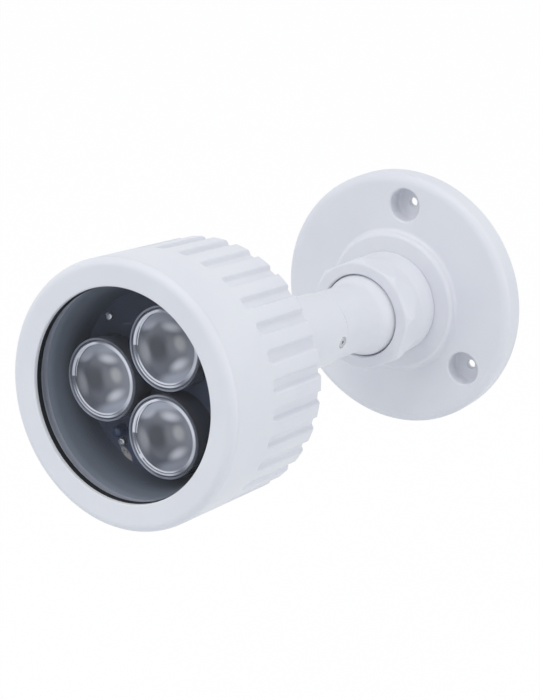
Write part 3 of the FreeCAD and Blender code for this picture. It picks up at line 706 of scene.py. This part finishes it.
def lens_plastic(base, bead=False):
    """Clear moulded lens with painted light: painted highlights and dark reflections on its flange rings, and
    the lamp and its hollow painted as seen through the dome, with painted highlights of the studio lamps.
    """
    shader = Shader("lens_plastic")
    place, x, along, z = shader.place(base)
    # What shows under the dome is laid out on a plane inside it, moved along the photo's line of sight
    plane_height, slant_x, slant_z = 6.7, 0.7, 0.41
    rise = (-along) - plane_height
    u, v = x - rise * slant_x, z - rise * slant_z
    radius = length_of(x, z)
    turn = z.math("ARCTAN2", z, x) * (180 / math.pi)
    cloud = shader.noise(place, 1.0)
    flange = radius.rise(7.85, 7.95) * (1 - turn.band(94.0, 12.0, 10.0) * radius.fall(8.3, 8.4))

    # Painted refraction and reflection: the dark hollow, the lamp's glow and chip, light crescents and
    # painted highlights as seen through the dome; the last layer is the flange's own smoky colour
    colour = shader.blend(u.rise(2.5, 7.5), (0.148, 0.153, 0.172), (0.295, 0.299, 0.32))
    for mask, share, tone in (
        (spot(u, v, (-1.3, 0.2), (0.9, 1.6), 10.0, 3.0), 0.9, (0.057, 0.057, 0.066)),
        (spot(u, v, (3.6, 1.3), (1.0, 1.1), 20.0, 2.8), 0.6, (0.271, 0.258, 0.262)),
        (spot(u, v, (4.6, 2.1), (0.3, 0.6), 20.0, 1.9), 0.85, (0.511, 0.492, 0.472)),
        (spot(u, v, (-4.8, -1.5), (2.6, 0.4), -70.0, 1.7), 0.85, (0.377, 0.369, 0.369)),
        (spot(u, v, (-3.9, 5.1), (2.2, 0.5), 32.0, 1.3), 0.9, (0.492, 0.492, 0.525)),
        ((v - u * 0.2).rise(5.2, 7.2), 0.95, (0.41, 0.418, 0.459)),
        (spot(u, v, (2.3, 5.4), (2.3, 0.2), 4.0, 1.5), 0.95, (0.656, 0.64, 0.648)),
        (spot(u, v, (4.6, -2.6), (2.4, 0.2), 35.0, 1.5), 0.95, (0.72, 0.7, 0.7)),
        ((u * 0.425 - v * 0.905).rise(4.6, 6.6) * u.rise(-3.0, 2.0), 0.95, (0.492, 0.492, 0.541)),
        (flange, 1.0, shader.blend(cloud, (0.164, 0.17, 0.197), (0.246, 0.25, 0.279))),
    ):
        colour = shader.blend(mask * share, colour, tone)

    # Painted highlights and dark painted reflections on the flange rings
    upper_left = (turn.rise(94.0, 116.0) + turn.fall(-176.0, -175.5)).clamped()
    lower_left = turn.rise(-168.0, -146.0) * turn.fall(-76.0, -50.0)
    right = turn.rise(-56.0, -20.0) * turn.fall(70.0, 96.0)
    inner = radius - turn.fall(100.0, 180.0) * z.rise(-0.1, 0.1)
    dark = (inner.band(7.75, 0.07, 0.08) + inner.band(7.02, 0.05, 0.08)) * upper_left
    dark = dark + radius.band(8.12, 0.1, 0.1) * lower_left
    colour = shader.blend(dark.clamped() * 0.8, colour, (0.049, 0.052, 0.061))
    bright = (radius.band(8.22, 0.24, 0.12) + inner.band(7.38, 0.17, 0.1)) * upper_left
    bright = bright + (radius.band(7.85, 0.13, 0.12) + radius.band(8.42, 0.14, 0.14) * 0.85) * lower_left
    bright = bright + radius.band(8.16, 0.38, 0.16) * right * (0.7 + turn.band(38.0, 16.0, 24.0) * 0.3)
    # A painted glint on a small moulded bead of one lens
    if bead:
        bright = bright + spot(u, v, (-5.5, -5.3), (0.45, 0.3), -40.0, 0.3)
    colour = shader.blend(bright.clamped(), colour, (0.883, 0.874, 0.883))
    return shader.output(shader.principled(
        base_color=colour, roughness=0.12 + cloud * 0.08, specular_ior_level=0.3,
        normal=shader.bump(cloud, 0.004)))


# Pieces

class ILLUMINATOR_OT_wall_plate(bpy.types.Operator):
    """Build the cast wall plate with its raised step and sunk screw holes"""

    bl_idname = "illuminator.wall_plate"
    bl_label = "Wall plate"

    HOLLOW, BOSS_TOP, BOSS_RADIUS, RECESS_DEPTH = 3.4, 16.0, 12.0, 4.6
    FIRST_SCREW = 84.6

    def execute(self, context):
        size, paint = context.scene.illuminator_bracket, context.scene.illuminator_paint
        radius, face = size.plate_radius / MM, size.plate_thickness / MM
        step_radius, step_face = size.step_radius / MM, size.step_face / MM
        points = outline([(0, self.HOLLOW), (15.5, self.HOLLOW, 0.8), (16.5, 0, 0.3), (radius, 0, 0.4),
                          (radius, face)])[:-1]
        points += quarter_round(radius, -size.rim_width / MM, face, size.rim_height / MM, 12)
        points += outline([(radius, face), (step_radius, face, 1.1), (step_radius, step_face, 1.1),
                           (self.BOSS_RADIUS, step_face, 0.15), (self.BOSS_RADIUS, self.BOSS_TOP, 0.3),
                           (10.9, self.BOSS_TOP, 0.2), (10.9, step_face), (0, step_face)], 8)[1:]
        plate = turned("wall_plate", points, segments=192)
        recess = self.recess(size, face)
        places = [place_at(WALL, size.screw_circle / MM, self.FIRST_SCREW + 120 * index, 0)
                  for index in range(3)]
        cut(plate, [turned("recess", recess, place, segments=64) for place in places])
        fit(even_shading(plate), "base", "base_plate", white_paint(paint))
        return {"FINISHED"}

    def recess(self, size, face):
        """Section of what a wall screw's hole and its recess take out of the plate."""
        hole, recess, edge = size.hole_radius / MM, size.recess_radius / MM, size.recess_edge / MM
        floor = face - self.RECESS_DEPTH
        bore = outline([(hole, -1), (hole, floor, 0.3), (recess, floor, 0.8), (recess, face)])[:-1]
        mouth = quarter_round(recess, edge, face, edge, 6)
        return [(0, -1), *bore, *mouth, (recess + edge, face + 1), (0, face + 1)]


class ILLUMINATOR_OT_locking_collar(bpy.types.Operator):
    """Build the locking collar: round skirt, eight flats and a coned front"""

    bl_idname = "illuminator.locking_collar"
    bl_label = "Locking collar"

    # Degrees from corner to corner, and to the first corner; then radii, distances and the cones
    SIDE, FIRST_CORNER = 45, 4.0
    SKIRT, BORE, SEAT = 14.0, 12.15, 11.3
    FOOT, FLATS_START, FACE = 8.68, 15.6, 24.1
    CONE_START, REAR_SLOPE = 23.1, 0.21

    def execute(self, context):
        size, paint = context.scene.illuminator_bracket, context.scene.illuminator_paint
        # Columns stand closer together at the corners
        angles = [self.FIRST_CORNER + self.SIDE * (side + share) for side in range(8) for share in (
            0, 0.012, 0.03, 0.06, 0.11, 0.18, 0.27, 0.38, 0.5, 0.62, 0.73, 0.82, 0.89, 0.94, 0.97, 0.988)]
        rows = []
        for radius, distance, gripped in self.rows(size):
            row = []
            for angle in angles:
                reach = self.grip(angle, distance, size) - radius if gripped else radius
                row.append(at(reach, angle, distance))
            rows.append(row)
        collar = wrapped("locking_collar", rows, WALL, sharp=60.0)
        fit(collar, "collar", "locking_collar", white_paint(paint))
        return {"FINISHED"}

    def rows(self, size):
        """Rows from the foot's inside, over the outside and down the mouth.

        Each has its radius, or its inset where the flats grip it, its distance, and whether they do.
        """
        ball = size.ball_height / MM
        foot = outline([(self.BORE, 14.0), (self.BORE, self.FOOT, 0.2), (self.SKIRT, self.FOOT, 0.15),
                        (self.SKIRT, 17.4)])
        rows = [(radius, distance, False) for radius, distance in foot[1:-1]]
        rows += [(self.SKIRT, distance, False) for distance in (9.4, 11.5, 13.5, 15.0)]
        rows += [(0.0, 15.2 + step * 0.35, True) for step in range(1, 10)]
        rows += [(0.0, distance, True) for distance in (18.8, 19.4, 20.2, 21.0, 21.6)]
        rows += [(0.0, 21.8 + 0.1 * step, True) for step in range(21)]
        rows += [(0.03, 23.92, True), (0.11, 24.03, True), (0.26, self.FACE, True)]
        rows += [(radius, self.FACE - depth, False) for radius, depth in (
            (13.6, 0), (12.4, 0), (11.6, 0), (11.45, 0.02), (11.33, 0.1))]
        rows += [(11.22, 23.75, False), (11.1, 23.35, False)]
        for distance in (22.8, 22.0, 21.2, ball):
            rows.append((math.sqrt(self.SEAT ** 2 - (distance - ball) ** 2), distance, False))
        return rows + [(self.BORE, 20.3, False), (self.BORE, 14.0, False)]

    def grip(self, angle, distance, size):
        """How far the flats, their corners and the cones in front and behind are from the axis."""
        width, corner = size.collar_width / MM, size.collar_corner / MM
        across = (angle - self.FIRST_CORNER) % self.SIDE - self.SIDE / 2
        flat = width / 2 / math.cos(math.radians(across))
        front = corner - (distance - self.CONE_START) * (corner - width / 2)
        rear = self.SKIRT + max(0.0, distance - self.FLATS_START) * self.REAR_SLOPE
        return soft_least(soft_least(soft_least(flat, corner, 0.15), front, 0.15), rear, 0.1)


class ILLUMINATOR_OT_ball_and_arm(bpy.types.Operator):
    """Build the ball with its neck, the turned arm and the set screw"""

    bl_idname = "illuminator.ball_and_arm"
    bl_label = "Ball and arm"

    SPIGOT, TAIL = 4.92, 5

    def execute(self, context):
        size, paint = context.scene.illuminator_bracket, context.scene.illuminator_paint
        fit(self.ball(size), "ball", "ball_stud", white_paint(paint))
        fit(self.arm(size), "head", "arm", white_paint(paint))
        metal = steel(paint, "set_screw_steel", brightness=1.6, roughness=0.35)
        fit(self.set_screw(size), "head", "arm_set_screw", metal)
        return {"FINISHED"}

    def ball(self, size):
        """The ball, its neck with a wide hollow between them, and the spigot in the arm."""
        radius, neck, blend = size.ball_radius / MM, size.neck_radius / MM, size.neck_blend / MM
        along = math.sqrt((radius + blend) ** 2 - (neck + blend) ** 2)
        touch = math.atan2(neck + blend, along)
        points = [(0, -radius)]
        for step in range(1, 37):
            turn = math.pi - (math.pi - touch) * step / 36
            points.append((radius * math.sin(turn), radius * math.cos(turn)))
        for step in range(1, 13):
            turn = touch + (math.pi / 2 - touch) * step / 12
            points.append((neck + blend - blend * math.sin(turn), along - blend * math.cos(turn)))
        points += outline([(neck, along), (neck, ARM_START - 0.05, 0.1), (self.SPIGOT, ARM_START - 0.05),
                           (self.SPIGOT, 36.5, 0.4), (0, 36.5)])[1:]
        return even_shading(turned("ball_stud", points, HEAD, segments=128))

    def arm(self, size):
        """The arm's bar, softly rounded at the ball's end, with the hole for the set screw."""
        radius = size.arm_radius / MM
        points = outline([(0, 37.3), (self.TAIL, 37.3), (self.TAIL, ARM_START, 0.3), (radius, ARM_START, 1.2),
                          (radius, ARM_SHOULDER, 0.4), (self.TAIL, ARM_SHOULDER), (self.TAIL, ARM_END, 0.4),
                          (0, ARM_END)], 8)
        thing = turned("arm", points, HEAD, segments=128)
        hole = [(0, 4), (1.5, 4), (1.5, 9.15), (1.54, 9.28), (1.65, 9.4), (1.65, 12), (0, 12)]
        cut(thing, [turned("hole", hole, SET_SCREW, segments=48)])
        return even_shading(thing)

    def set_screw(self, size):
        """The set screw with its hexagonal key."""
        head = size.arm_radius / MM - 0.1
        points = outline([(0, 4.48), (1.45, 4.48, 0.3), (1.45, head, 0.3), (0, head)], 4)
        body = turned("arm_set_screw", points, SET_SCREW, segments=48)
        cut(body, [prism("key", 6, 1.0, head - 0.35, head + 1, SET_SCREW)])
        return body


class ILLUMINATOR_OT_housing(bpy.types.Operator):
    """Build the one-piece housing with its bezel and soft cooling grooves"""

    bl_idname = "illuminator.housing"
    bl_label = "Grooved housing"

    REAR, GROOVE_FIRST, GROOVE_END = 70.4, 9.2, 89.2

    def execute(self, context):
        size, paint = context.scene.illuminator_head, context.scene.illuminator_paint
        outside, depth = size.radius / MM, size.groove_depth / MM
        columns = self.columns(size)
        rows = []
        for radius, distance, share in self.rows(size):
            row = []
            for centre, offset, hollow in columns:
                height = math.sqrt(radius ** 2 - offset ** 2)
                if share > 0:
                    height = min(height, math.sqrt(outside ** 2 - offset ** 2) - depth * hollow * share)
                angle = centre + math.degrees(math.atan2(offset, height))
                row.append(at(math.hypot(offset, height), angle, distance))
            rows.append(row)
        housing = wrapped("housing", rows, HEAD, sharp=75.0)
        fit(housing, "head", "housing", white_paint(paint))
        return {"FINISHED"}

    def rows(self, size):
        """Rows round the section: radius, distance and how deep the grooves are there."""
        radius, bore, opening = size.radius / MM, size.bore_radius / MM, size.opening_radius / MM
        rear, edge = self.REAR, BEZEL_FACE - size.bezel_round / MM
        rows = [(bore, 73.0, 0.0), (bore, rear + 0.3, 0.0), (bore + 0.06, rear + 0.1, 0.0)]
        rows += [(r, rear, 0.0) for r in (bore + 0.2, bore + 0.5, 28.2, 28.6)]
        corner = outline([(28.6, rear), (radius, rear, 1.0), (radius, 80.0)], 7)[1:-1]
        rows += [(r, s, 1.0) for r, s in corner]
        rows += [(radius, distance, 1.0) for distance in (71.7, 74.0, 77.5, 81.0, 84.5, 87.0, 87.9)]
        # The grooves run out softly
        rows += [(radius, self.GROOVE_END - 0.9 + 0.18 * step, 1.0 - ease(step, 0, 10)) for step in range(11)]
        rows += [(radius, distance, 0.0) for distance in (90.4, 92.0, 95.5, 99.5, edge - 0.6, edge - 0.1)]
        front = outline([(radius, 95.0), (radius, BEZEL_FACE, size.bezel_round / MM),
                         (opening, LIP_FACE, 0.35), (opening, LIP_BACK, 0.1), (bore, LIP_BACK)], 9)[1:-1]
        front[10:10] = between(front[9], front[10], 12)
        rows += [(r, s, 0.0) for r, s in front]
        return rows + [(bore, LIP_BACK, 0.0), (bore, LIP_BACK - 0.3, 0.0), (bore, 90.0, 0.0)]

    def columns(self, size):
        """Columns round the housing: the groove's angle, offset from its middle, and share of its depth."""
        count, half, slope = size.groove_count, size.groove_width / MM / 2, size.groove_slope / MM / 2
        land = (size.radius / MM) * math.sin(math.pi / count)
        offsets = [0.0, (half - slope) * 0.55, half - slope]
        offsets += [half - slope + 2 * slope * step / 8 for step in range(1, 9)]
        offsets += [half + slope + (land - half - slope) * share for share in (0.3, 1.0)]
        offsets = [-offset for offset in reversed(offsets[1:-1])] + offsets
        shares = [1.0 - ease(abs(offset), half - slope, half + slope) for offset in offsets]
        return [(self.GROOVE_FIRST + 360 * index / count, offset, share)
                for index in range(count) for offset, share in zip(offsets, shares)]


class ILLUMINATOR_OT_rear_cover(bpy.types.Operator):
    """Build the rear cover with its boss, key holes and cable grommet"""

    bl_idname = "illuminator.rear_cover"
    bl_label = "Rear cover"

    INLET_CIRCLE, KEY_CIRCLE = 17.425, 18.55

    def execute(self, context):
        paint = context.scene.illuminator_paint
        radius, inside, groove = 26.05, 23.35, 24.6
        cover = turned("rear_cover", outline([
            (5.15, 67.9), (11.5, 67.9, 0.8), (11.5, COVER_BACK, 0.6), (radius, COVER_BACK, 0.4),
            (radius, 74.0), (groove, 74.0), (groove, 76.1), (radius, 76.1), (radius, 80.0),
            (inside, 80.0), (inside, COVER_FACE), (5.15, COVER_FACE)]), HEAD)
        inlet = place_at(HEAD, self.INLET_CIRCLE, -90, 0)
        grommet_hole = [(0, 70), (4.475, 70), (4.475, 76), (0, 76)]
        cutters = [turned("grommet_hole", grommet_hole, inlet, segments=64)]
        key_hole = [(0, 70), (1.85, 70), (1.85, COVER_BACK), (1.68, 72.0), (1.6, 72.2), (1.6, 73.2),
                    (1.4, 73.4), (0, 73.4)]
        for angle in (0, 180):
            place = place_at(HEAD, self.KEY_CIRCLE, angle, 0)
            cutters.append(turned("key_hole", key_hole, place, segments=48))
        cut(cover, cutters)
        fit(even_shading(cover), "head", "rear_cover", white_paint(paint))
        bore, waist, flange = 1.925, 4.425, 5.425
        grommet = outline([
            (bore, 68.2, 0.25), (4.025, 68.2, 0.5), (4.025, 70.6, 0.2), (flange, 70.6, 0.4),
            (flange, COVER_BACK), (waist, COVER_BACK), (waist, COVER_FACE), (flange, COVER_FACE),
            (flange, 75.7, 0.4), (bore, 75.7)], 4)
        fit_turned("cable_grommet", grommet, rubber(paint), inlet, segments=64)
        return {"FINISHED"}


class ILLUMINATOR_OT_window(bpy.types.Operator):
    """Build the gasket, the flat front window and the dished liner behind it"""

    bl_idname = "illuminator.window"
    bl_label = "Window and liner"

    def execute(self, context):
        paint = context.scene.illuminator_paint
        opening, outside = 23.75, CLAMPED_RADIUS
        gasket = outline([(opening, GLASS_FACE), (outside, GLASS_FACE), (outside, LIP_BACK),
                          (opening, LIP_BACK, 0.1)], 4)
        fit_turned("window_gasket", gasket, rubber(paint))
        window = outline([(0, GLASS_BACK), (outside, GLASS_BACK, 0.4), (outside, GLASS_FACE, 0.4),
                          (0, GLASS_FACE)], 4)
        fit_turned("front_window", window, window_glass(paint))
        dish = arc_through((24.2, LINER_MOUTH), (23.4, 94.9), (21.4, 90.6), 20)
        back = outline([(21.05, BOARD_FACE), (outside, BOARD_FACE), (outside, LINER_MOUTH, 0.2)], 3)
        fit_turned("inner_liner", dish + back, liner_colour_and_painted_light(paint))
        return {"FINISHED"}


class ILLUMINATOR_OT_lamp_board(bpy.types.Operator):
    """Build the lamp board with its small screws and light sensor"""

    bl_idname = "illuminator.lamp_board"
    bl_label = "Lamp board"

    RADIUS = 25.6
    SCREWS = ((19.05, 137.2), (18.3, -121.8), (18.9, 8.5))

    def execute(self, context):
        paint = context.scene.illuminator_paint
        board = outline([(0, BOARD_BACK), (self.RADIUS, BOARD_BACK, 0.1), (self.RADIUS, BOARD_FACE, 0.1),
                         (0, BOARD_FACE)], 2)
        fit_turned("led_board", board, board_colour_and_painted_light(paint), segments=128)
        section = outline([(0, -4.6), (0.7, -4.6, 0.2), (0.7, 0), (1.0, 0, 0.1), (1.0, 1.1, 0.4),
                           (0, 1.1)], 5)
        screws = []
        for circle, angle in self.SCREWS:
            place = place_at(HEAD, circle, angle, BOARD_FACE)
            screw = turned("screw", section, place, segments=40)
            cut(screw, [prism("key", 6, 0.8, 0.6, 2.0, place)])
            screws.append(screw)
        fit(join("board_screws", screws, HEAD), "head", "board_screws",
            steel(paint, "bright_steel", brightness=1.5, roughness=0.15))
        foot = outline([(0, 0), (1.45, 0, 0.1), (1.45, 0.6, 0.15), (1.25, 0.6)], 3)
        dome = arc_through((1.25, 2.3), (0.9, 2.72), (0, 2.9), 6)
        place = place_at(HEAD, 16.1, -127.3, BOARD_FACE)
        sensor = turned("light_sensor", foot + dome, place, segments=48)
        fit(sensor, "head", "light_sensor", plain_plastic(
            "sensor_plastic", (0.025, 0.04, 0.09), (0.045, 0.065, 0.13), roughness=0.15))
        return {"FINISHED"}


class ILLUMINATOR_OT_lamps(bpy.types.Operator):
    """Build the three lens holders, lenses and emitters"""

    bl_idname = "illuminator.lamps"
    bl_label = "Lamps"

    ANGLES = (181.0, 61.0, -59.0)

    def execute(self, context):
        size = context.scene.illuminator_head
        ceramic = plain_plastic("emitter_ceramic", (0.5, 0.47, 0.42), (0.62, 0.6, 0.55), roughness=0.3)
        for index, angle in enumerate(self.ANGLES, 1):
            place = place_at(HEAD, size.lamp_circle / MM, angle, BOARD_FACE)
            fit_turned(f"lens_holder_{index}", self.holder(size),
                       holder_plastic(place), place, segments=96)
            fit_turned(f"lens_{index}", self.lens(size),
                       lens_plastic(place, bead=index == 3), place, segments=96)
            name = f"led_emitter_{index}"
            fit(self.emitter(name, place), "head", name, ceramic)
        return {"FINISHED"}

    @staticmethod
    def holder(size):
        """Section of a lens holder."""
        radius = size.holder_radius / MM
        inner, foot = radius - 0.55, radius - 2.6
        return outline([
            (foot, 0), (radius, 0), (radius, 6.2, 0.35), (inner, 6.2, 0.15), (inner, 4.7), (inner - 0.9, 4.7),
            (inner - 0.9, 3.6), (inner, 2.7), (inner, 1.4), (foot, 1.4)], 4)

    @staticmethod
    def lens(size):
        """Section of a lens: dome, flange with a moulded bead, and the cone under it."""
        radius = size.holder_radius / MM - 0.65
        dome_radius, dome_foot, height = 7.75, 5.7, 2.4
        ball = (dome_radius ** 2 + height ** 2) / (2 * height)
        limit = math.asin(dome_radius / ball)
        dome = []
        for step in range(19):
            turn = limit * step / 18
            dome.append((ball * math.sin(turn), dome_foot + height - ball * (1 - math.cos(turn))))
        return dome + outline([
            (7.85, 5.65, 0.05), (8.1, 5.95, 0.12), (radius - 0.1, 5.95, 0.12), (radius, 5.7, 0.1),
            (radius, 4.7, 0.1), (radius - 1.0, 4.7), (2.6, 2.8, 0.2), (0, 2.8)], 3)

    @staticmethod
    def emitter(name, place):
        """A square emitter with its small dome."""
        radius, base_height = 1.35, 0.9
        base = prism("base", 4, 3.4, 0, base_height, place, 45)
        arc = [(radius * math.cos(turn), base_height + radius * math.sin(turn))
               for turn in np.linspace(0.1, math.pi / 2, 10)[:-1]]
        dome = [(0, 0.5), (radius, 0.5), (radius, base_height), *arc, (0, base_height + radius)]
        return join(name, [base, turned("dome", dome, place, segments=40)], place)


class ILLUMINATOR_OT_inner_parts(bpy.types.Operator):
    """Give the hidden parts behind the lamp board and in the joint their finishes"""

    bl_idname = "illuminator.inner_parts"
    bl_label = "Inner parts"

    def execute(self, context):
        paint = context.scene.illuminator_paint
        plated = steel(paint)
        finishes = {
            "ball_seat": plain_plastic("acetal", (0.62, 0.61, 0.58), (0.72, 0.71, 0.68), 0.3),
            "arm_nut": plated,
            "arm_seal": rubber(paint),
            "rear_cover_seal": rubber(paint),
            "heat_sink": steel(paint, "turned_aluminium", 1.2, 0.32),
            "capacitor": steel(paint, "capacitor_can", 1.1, 0.25),
            "driver_board": plain_plastic("green_board", (0.01, 0.07, 0.03), (0.02, 0.11, 0.05), 0.35),
            "driver_board_screws": plated,
            "inductor": plain_plastic("ferrite", (0.03, 0.03, 0.03), (0.07, 0.065, 0.06), 0.6),
            "wire_connector": plain_plastic("connector_plastic", (0.75, 0.74, 0.7), (0.82, 0.81, 0.78), 0.4),
            "driver_chip": plain_plastic("chip_plastic", (0.012, 0.012, 0.013), (0.03, 0.03, 0.032), 0.5),
        }
        for node, material in finishes.items():
            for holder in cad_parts[node].material_slots:
                holder.material = material
        return {"FINISHED"}


class ILLUMINATOR_OT_stage(bpy.types.Operator):
    """Build the floor, the studio lamps, the background and the camera"""

    bl_idname = "illuminator.stage"
    bl_label = "Studio"

    # Where each lamp stands, in metres, and its share of the key lamp's power
    LAMPS = {
        "front_lamp": ((0.0, -0.5, 0.7), 1.0),
        "right_lamp": ((0.8, 0.0, 0.1), 0.91),
        "top_lamp": ((0.1, -0.1, 0.8), 0.52),
        "left_lamp": ((-0.5, -0.6, 0.3), 0.45),
    }
    LAMP_SIZE = 0.5
    # The photograph's height and focal length in pixels, and the camera's sensor, place and directions
    PHOTO_HEIGHT, FOCAL_LENGTH, SENSOR_HEIGHT = 700, 1671.18, 36.0
    CAMERA_PLACE = (221.755, -380.872, 131.633)
    CAMERA_RIGHT, CAMERA_UP, CAMERA_BACK = (
        (0.81873, 0.57417, 0.0), (-0.18308, 0.26106, 0.94780), (0.5442, -0.7760, 0.31885))

    def execute(self, context):
        scene = context.scene
        stage = scene.illuminator_stage
        scene.view_settings.view_transform = "Standard"
        self.floor(stage)
        self.world(scene, stage)
        for name, (place, share) in self.LAMPS.items():
            self.lamp(name, place, stage.key_power * share)
        self.camera(scene)
        return {"FINISHED"}

    @staticmethod
    def seen_directly(shader):
        """1 for rays from the camera, off a gloss or through glass, and 0 for light on the object."""
        rays = shader.node("ShaderNodeLightPath").outputs
        camera, glossy, clear = (Value(shader, rays[f"Is {kind} Ray"]) for kind in (
            "Camera", "Glossy", "Transmission"))
        return camera.most(glossy).most(clear)

    def floor(self, stage):
        """A pale floor well below the object; the camera sees it white, with the object's shadow."""
        low = (CAD_LOW.z - stage.floor_drop) / MM
        side = 4000
        corners = [(-side, -side, low), (side, -side, low), (side, side, low), (-side, side, low)]
        floor = make_object("floor", corners, [(0, 1, 2, 3)])
        shader = Shader("pale_floor")
        white = shader.node("ShaderNodeEmission", {}, {"Color": (1, 1, 1), "Strength": 1.0})
        matt = shader.node("ShaderNodeBsdfDiffuse", {}, {"Color": (0.86, 0.87, 0.88)})
        surface = shader.mixed(self.seen_directly(shader) * 0.985, matt.outputs[0], white.outputs[0])
        floor.data.materials.append(shader.output(surface))

    def world(self, scene, stage):
        """Soft pale light from all round, and plain white where it is seen directly."""
        scene.world = bpy.data.worlds.new("studio")
        scene.world.use_nodes = True
        shader = Shader("studio", scene.world.node_tree)
        soft = shader.node("ShaderNodeBackground", {}, {
            "Color": (0.88, 0.93, 1.0), "Strength": stage.fill_strength})
        white = shader.node("ShaderNodeBackground", {}, {"Color": (1, 1, 1), "Strength": 1.0})
        surface = shader.mixed(self.seen_directly(shader), soft.outputs[0], white.outputs[0])
        shader.node("ShaderNodeOutputWorld", {}, {"Surface": surface})

    def lamp(self, name, place, power):
        """A square soft lamp that faces the object."""
        data = bpy.data.lights.new(name, "AREA")
        data.size = self.LAMP_SIZE
        data.energy = power
        data.color = (1.0, 0.98, 0.94)
        lamp = add_object(name, data)
        lamp.location = place
        towards = Vector((0, -0.05, 0)) - lamp.location
        lamp.rotation_mode = "QUATERNION"
        lamp.rotation_quaternion = towards.to_track_quat("-Z", "Y")

    def camera(self, scene):
        """The camera at the photograph's viewing angle and distance."""
        data = bpy.data.cameras.new("camera")
        data.sensor_fit = "VERTICAL"
        data.sensor_height = self.SENSOR_HEIGHT
        data.lens = self.FOCAL_LENGTH / self.PHOTO_HEIGHT * self.SENSOR_HEIGHT
        data.clip_start, data.clip_end = 0.01, 20.0
        turn = Matrix((self.CAMERA_RIGHT, self.CAMERA_UP, self.CAMERA_BACK)).transposed().to_4x4()
        scene.camera = add_object("camera", data, Matrix.Translation(Vector(self.CAMERA_PLACE) * MM) @ turn)


PIECES = (
    ILLUMINATOR_OT_wall_plate, ILLUMINATOR_OT_locking_collar, ILLUMINATOR_OT_ball_and_arm,
    ILLUMINATOR_OT_housing, ILLUMINATOR_OT_rear_cover, ILLUMINATOR_OT_window, ILLUMINATOR_OT_lamp_board,
    ILLUMINATOR_OT_lamps, ILLUMINATOR_OT_inner_parts, ILLUMINATOR_OT_stage,
)
SETTINGS = {
    "illuminator_bracket": BracketSettings,
    "illuminator_head": HeadSettings,
    "illuminator_paint": PaintSettings,
    "illuminator_stage": StageSettings,
}


class ILLUMINATOR_PT_pieces(bpy.types.Panel):
    """The illuminator's settings and the operators that build it"""

    bl_idname = "ILLUMINATOR_PT_pieces"
    bl_label = "Infrared illuminator"
    bl_space_type = "VIEW_3D"
    bl_region_type = "UI"
    bl_category = "Illuminator"

    def draw(self, context):
        layout = self.layout
        for group in SETTINGS:
            box = layout.box()
            settings = getattr(context.scene, group)
            for name in settings.bl_rna.properties.keys():
                if name not in ("rna_type", "name"):
                    box.prop(settings, name)
        for piece in PIECES:
            layout.operator(piece.bl_idname)


def register():
    """Register the settings, the operators and the panel."""
    for name, group in SETTINGS.items():
        bpy.utils.register_class(group)
        setattr(bpy.types.Scene, name, PointerProperty(type=group))
    for piece in PIECES:
        bpy.utils.register_class(piece)
    bpy.utils.register_class(ILLUMINATOR_PT_pieces)


def unregister():
    """Take everything back out."""
    bpy.utils.unregister_class(ILLUMINATOR_PT_pieces)
    for piece in reversed(PIECES):
        bpy.utils.unregister_class(piece)
    for name, group in SETTINGS.items():
        delattr(bpy.types.Scene, name)
        bpy.utils.unregister_class(group)


def main():
    """Build every piece in order."""
    register()
    for piece in PIECES:
        family, name = piece.bl_idname.split(".")
        getattr(getattr(bpy.ops, family), name)()


if __name__ == "__main__":
    main()
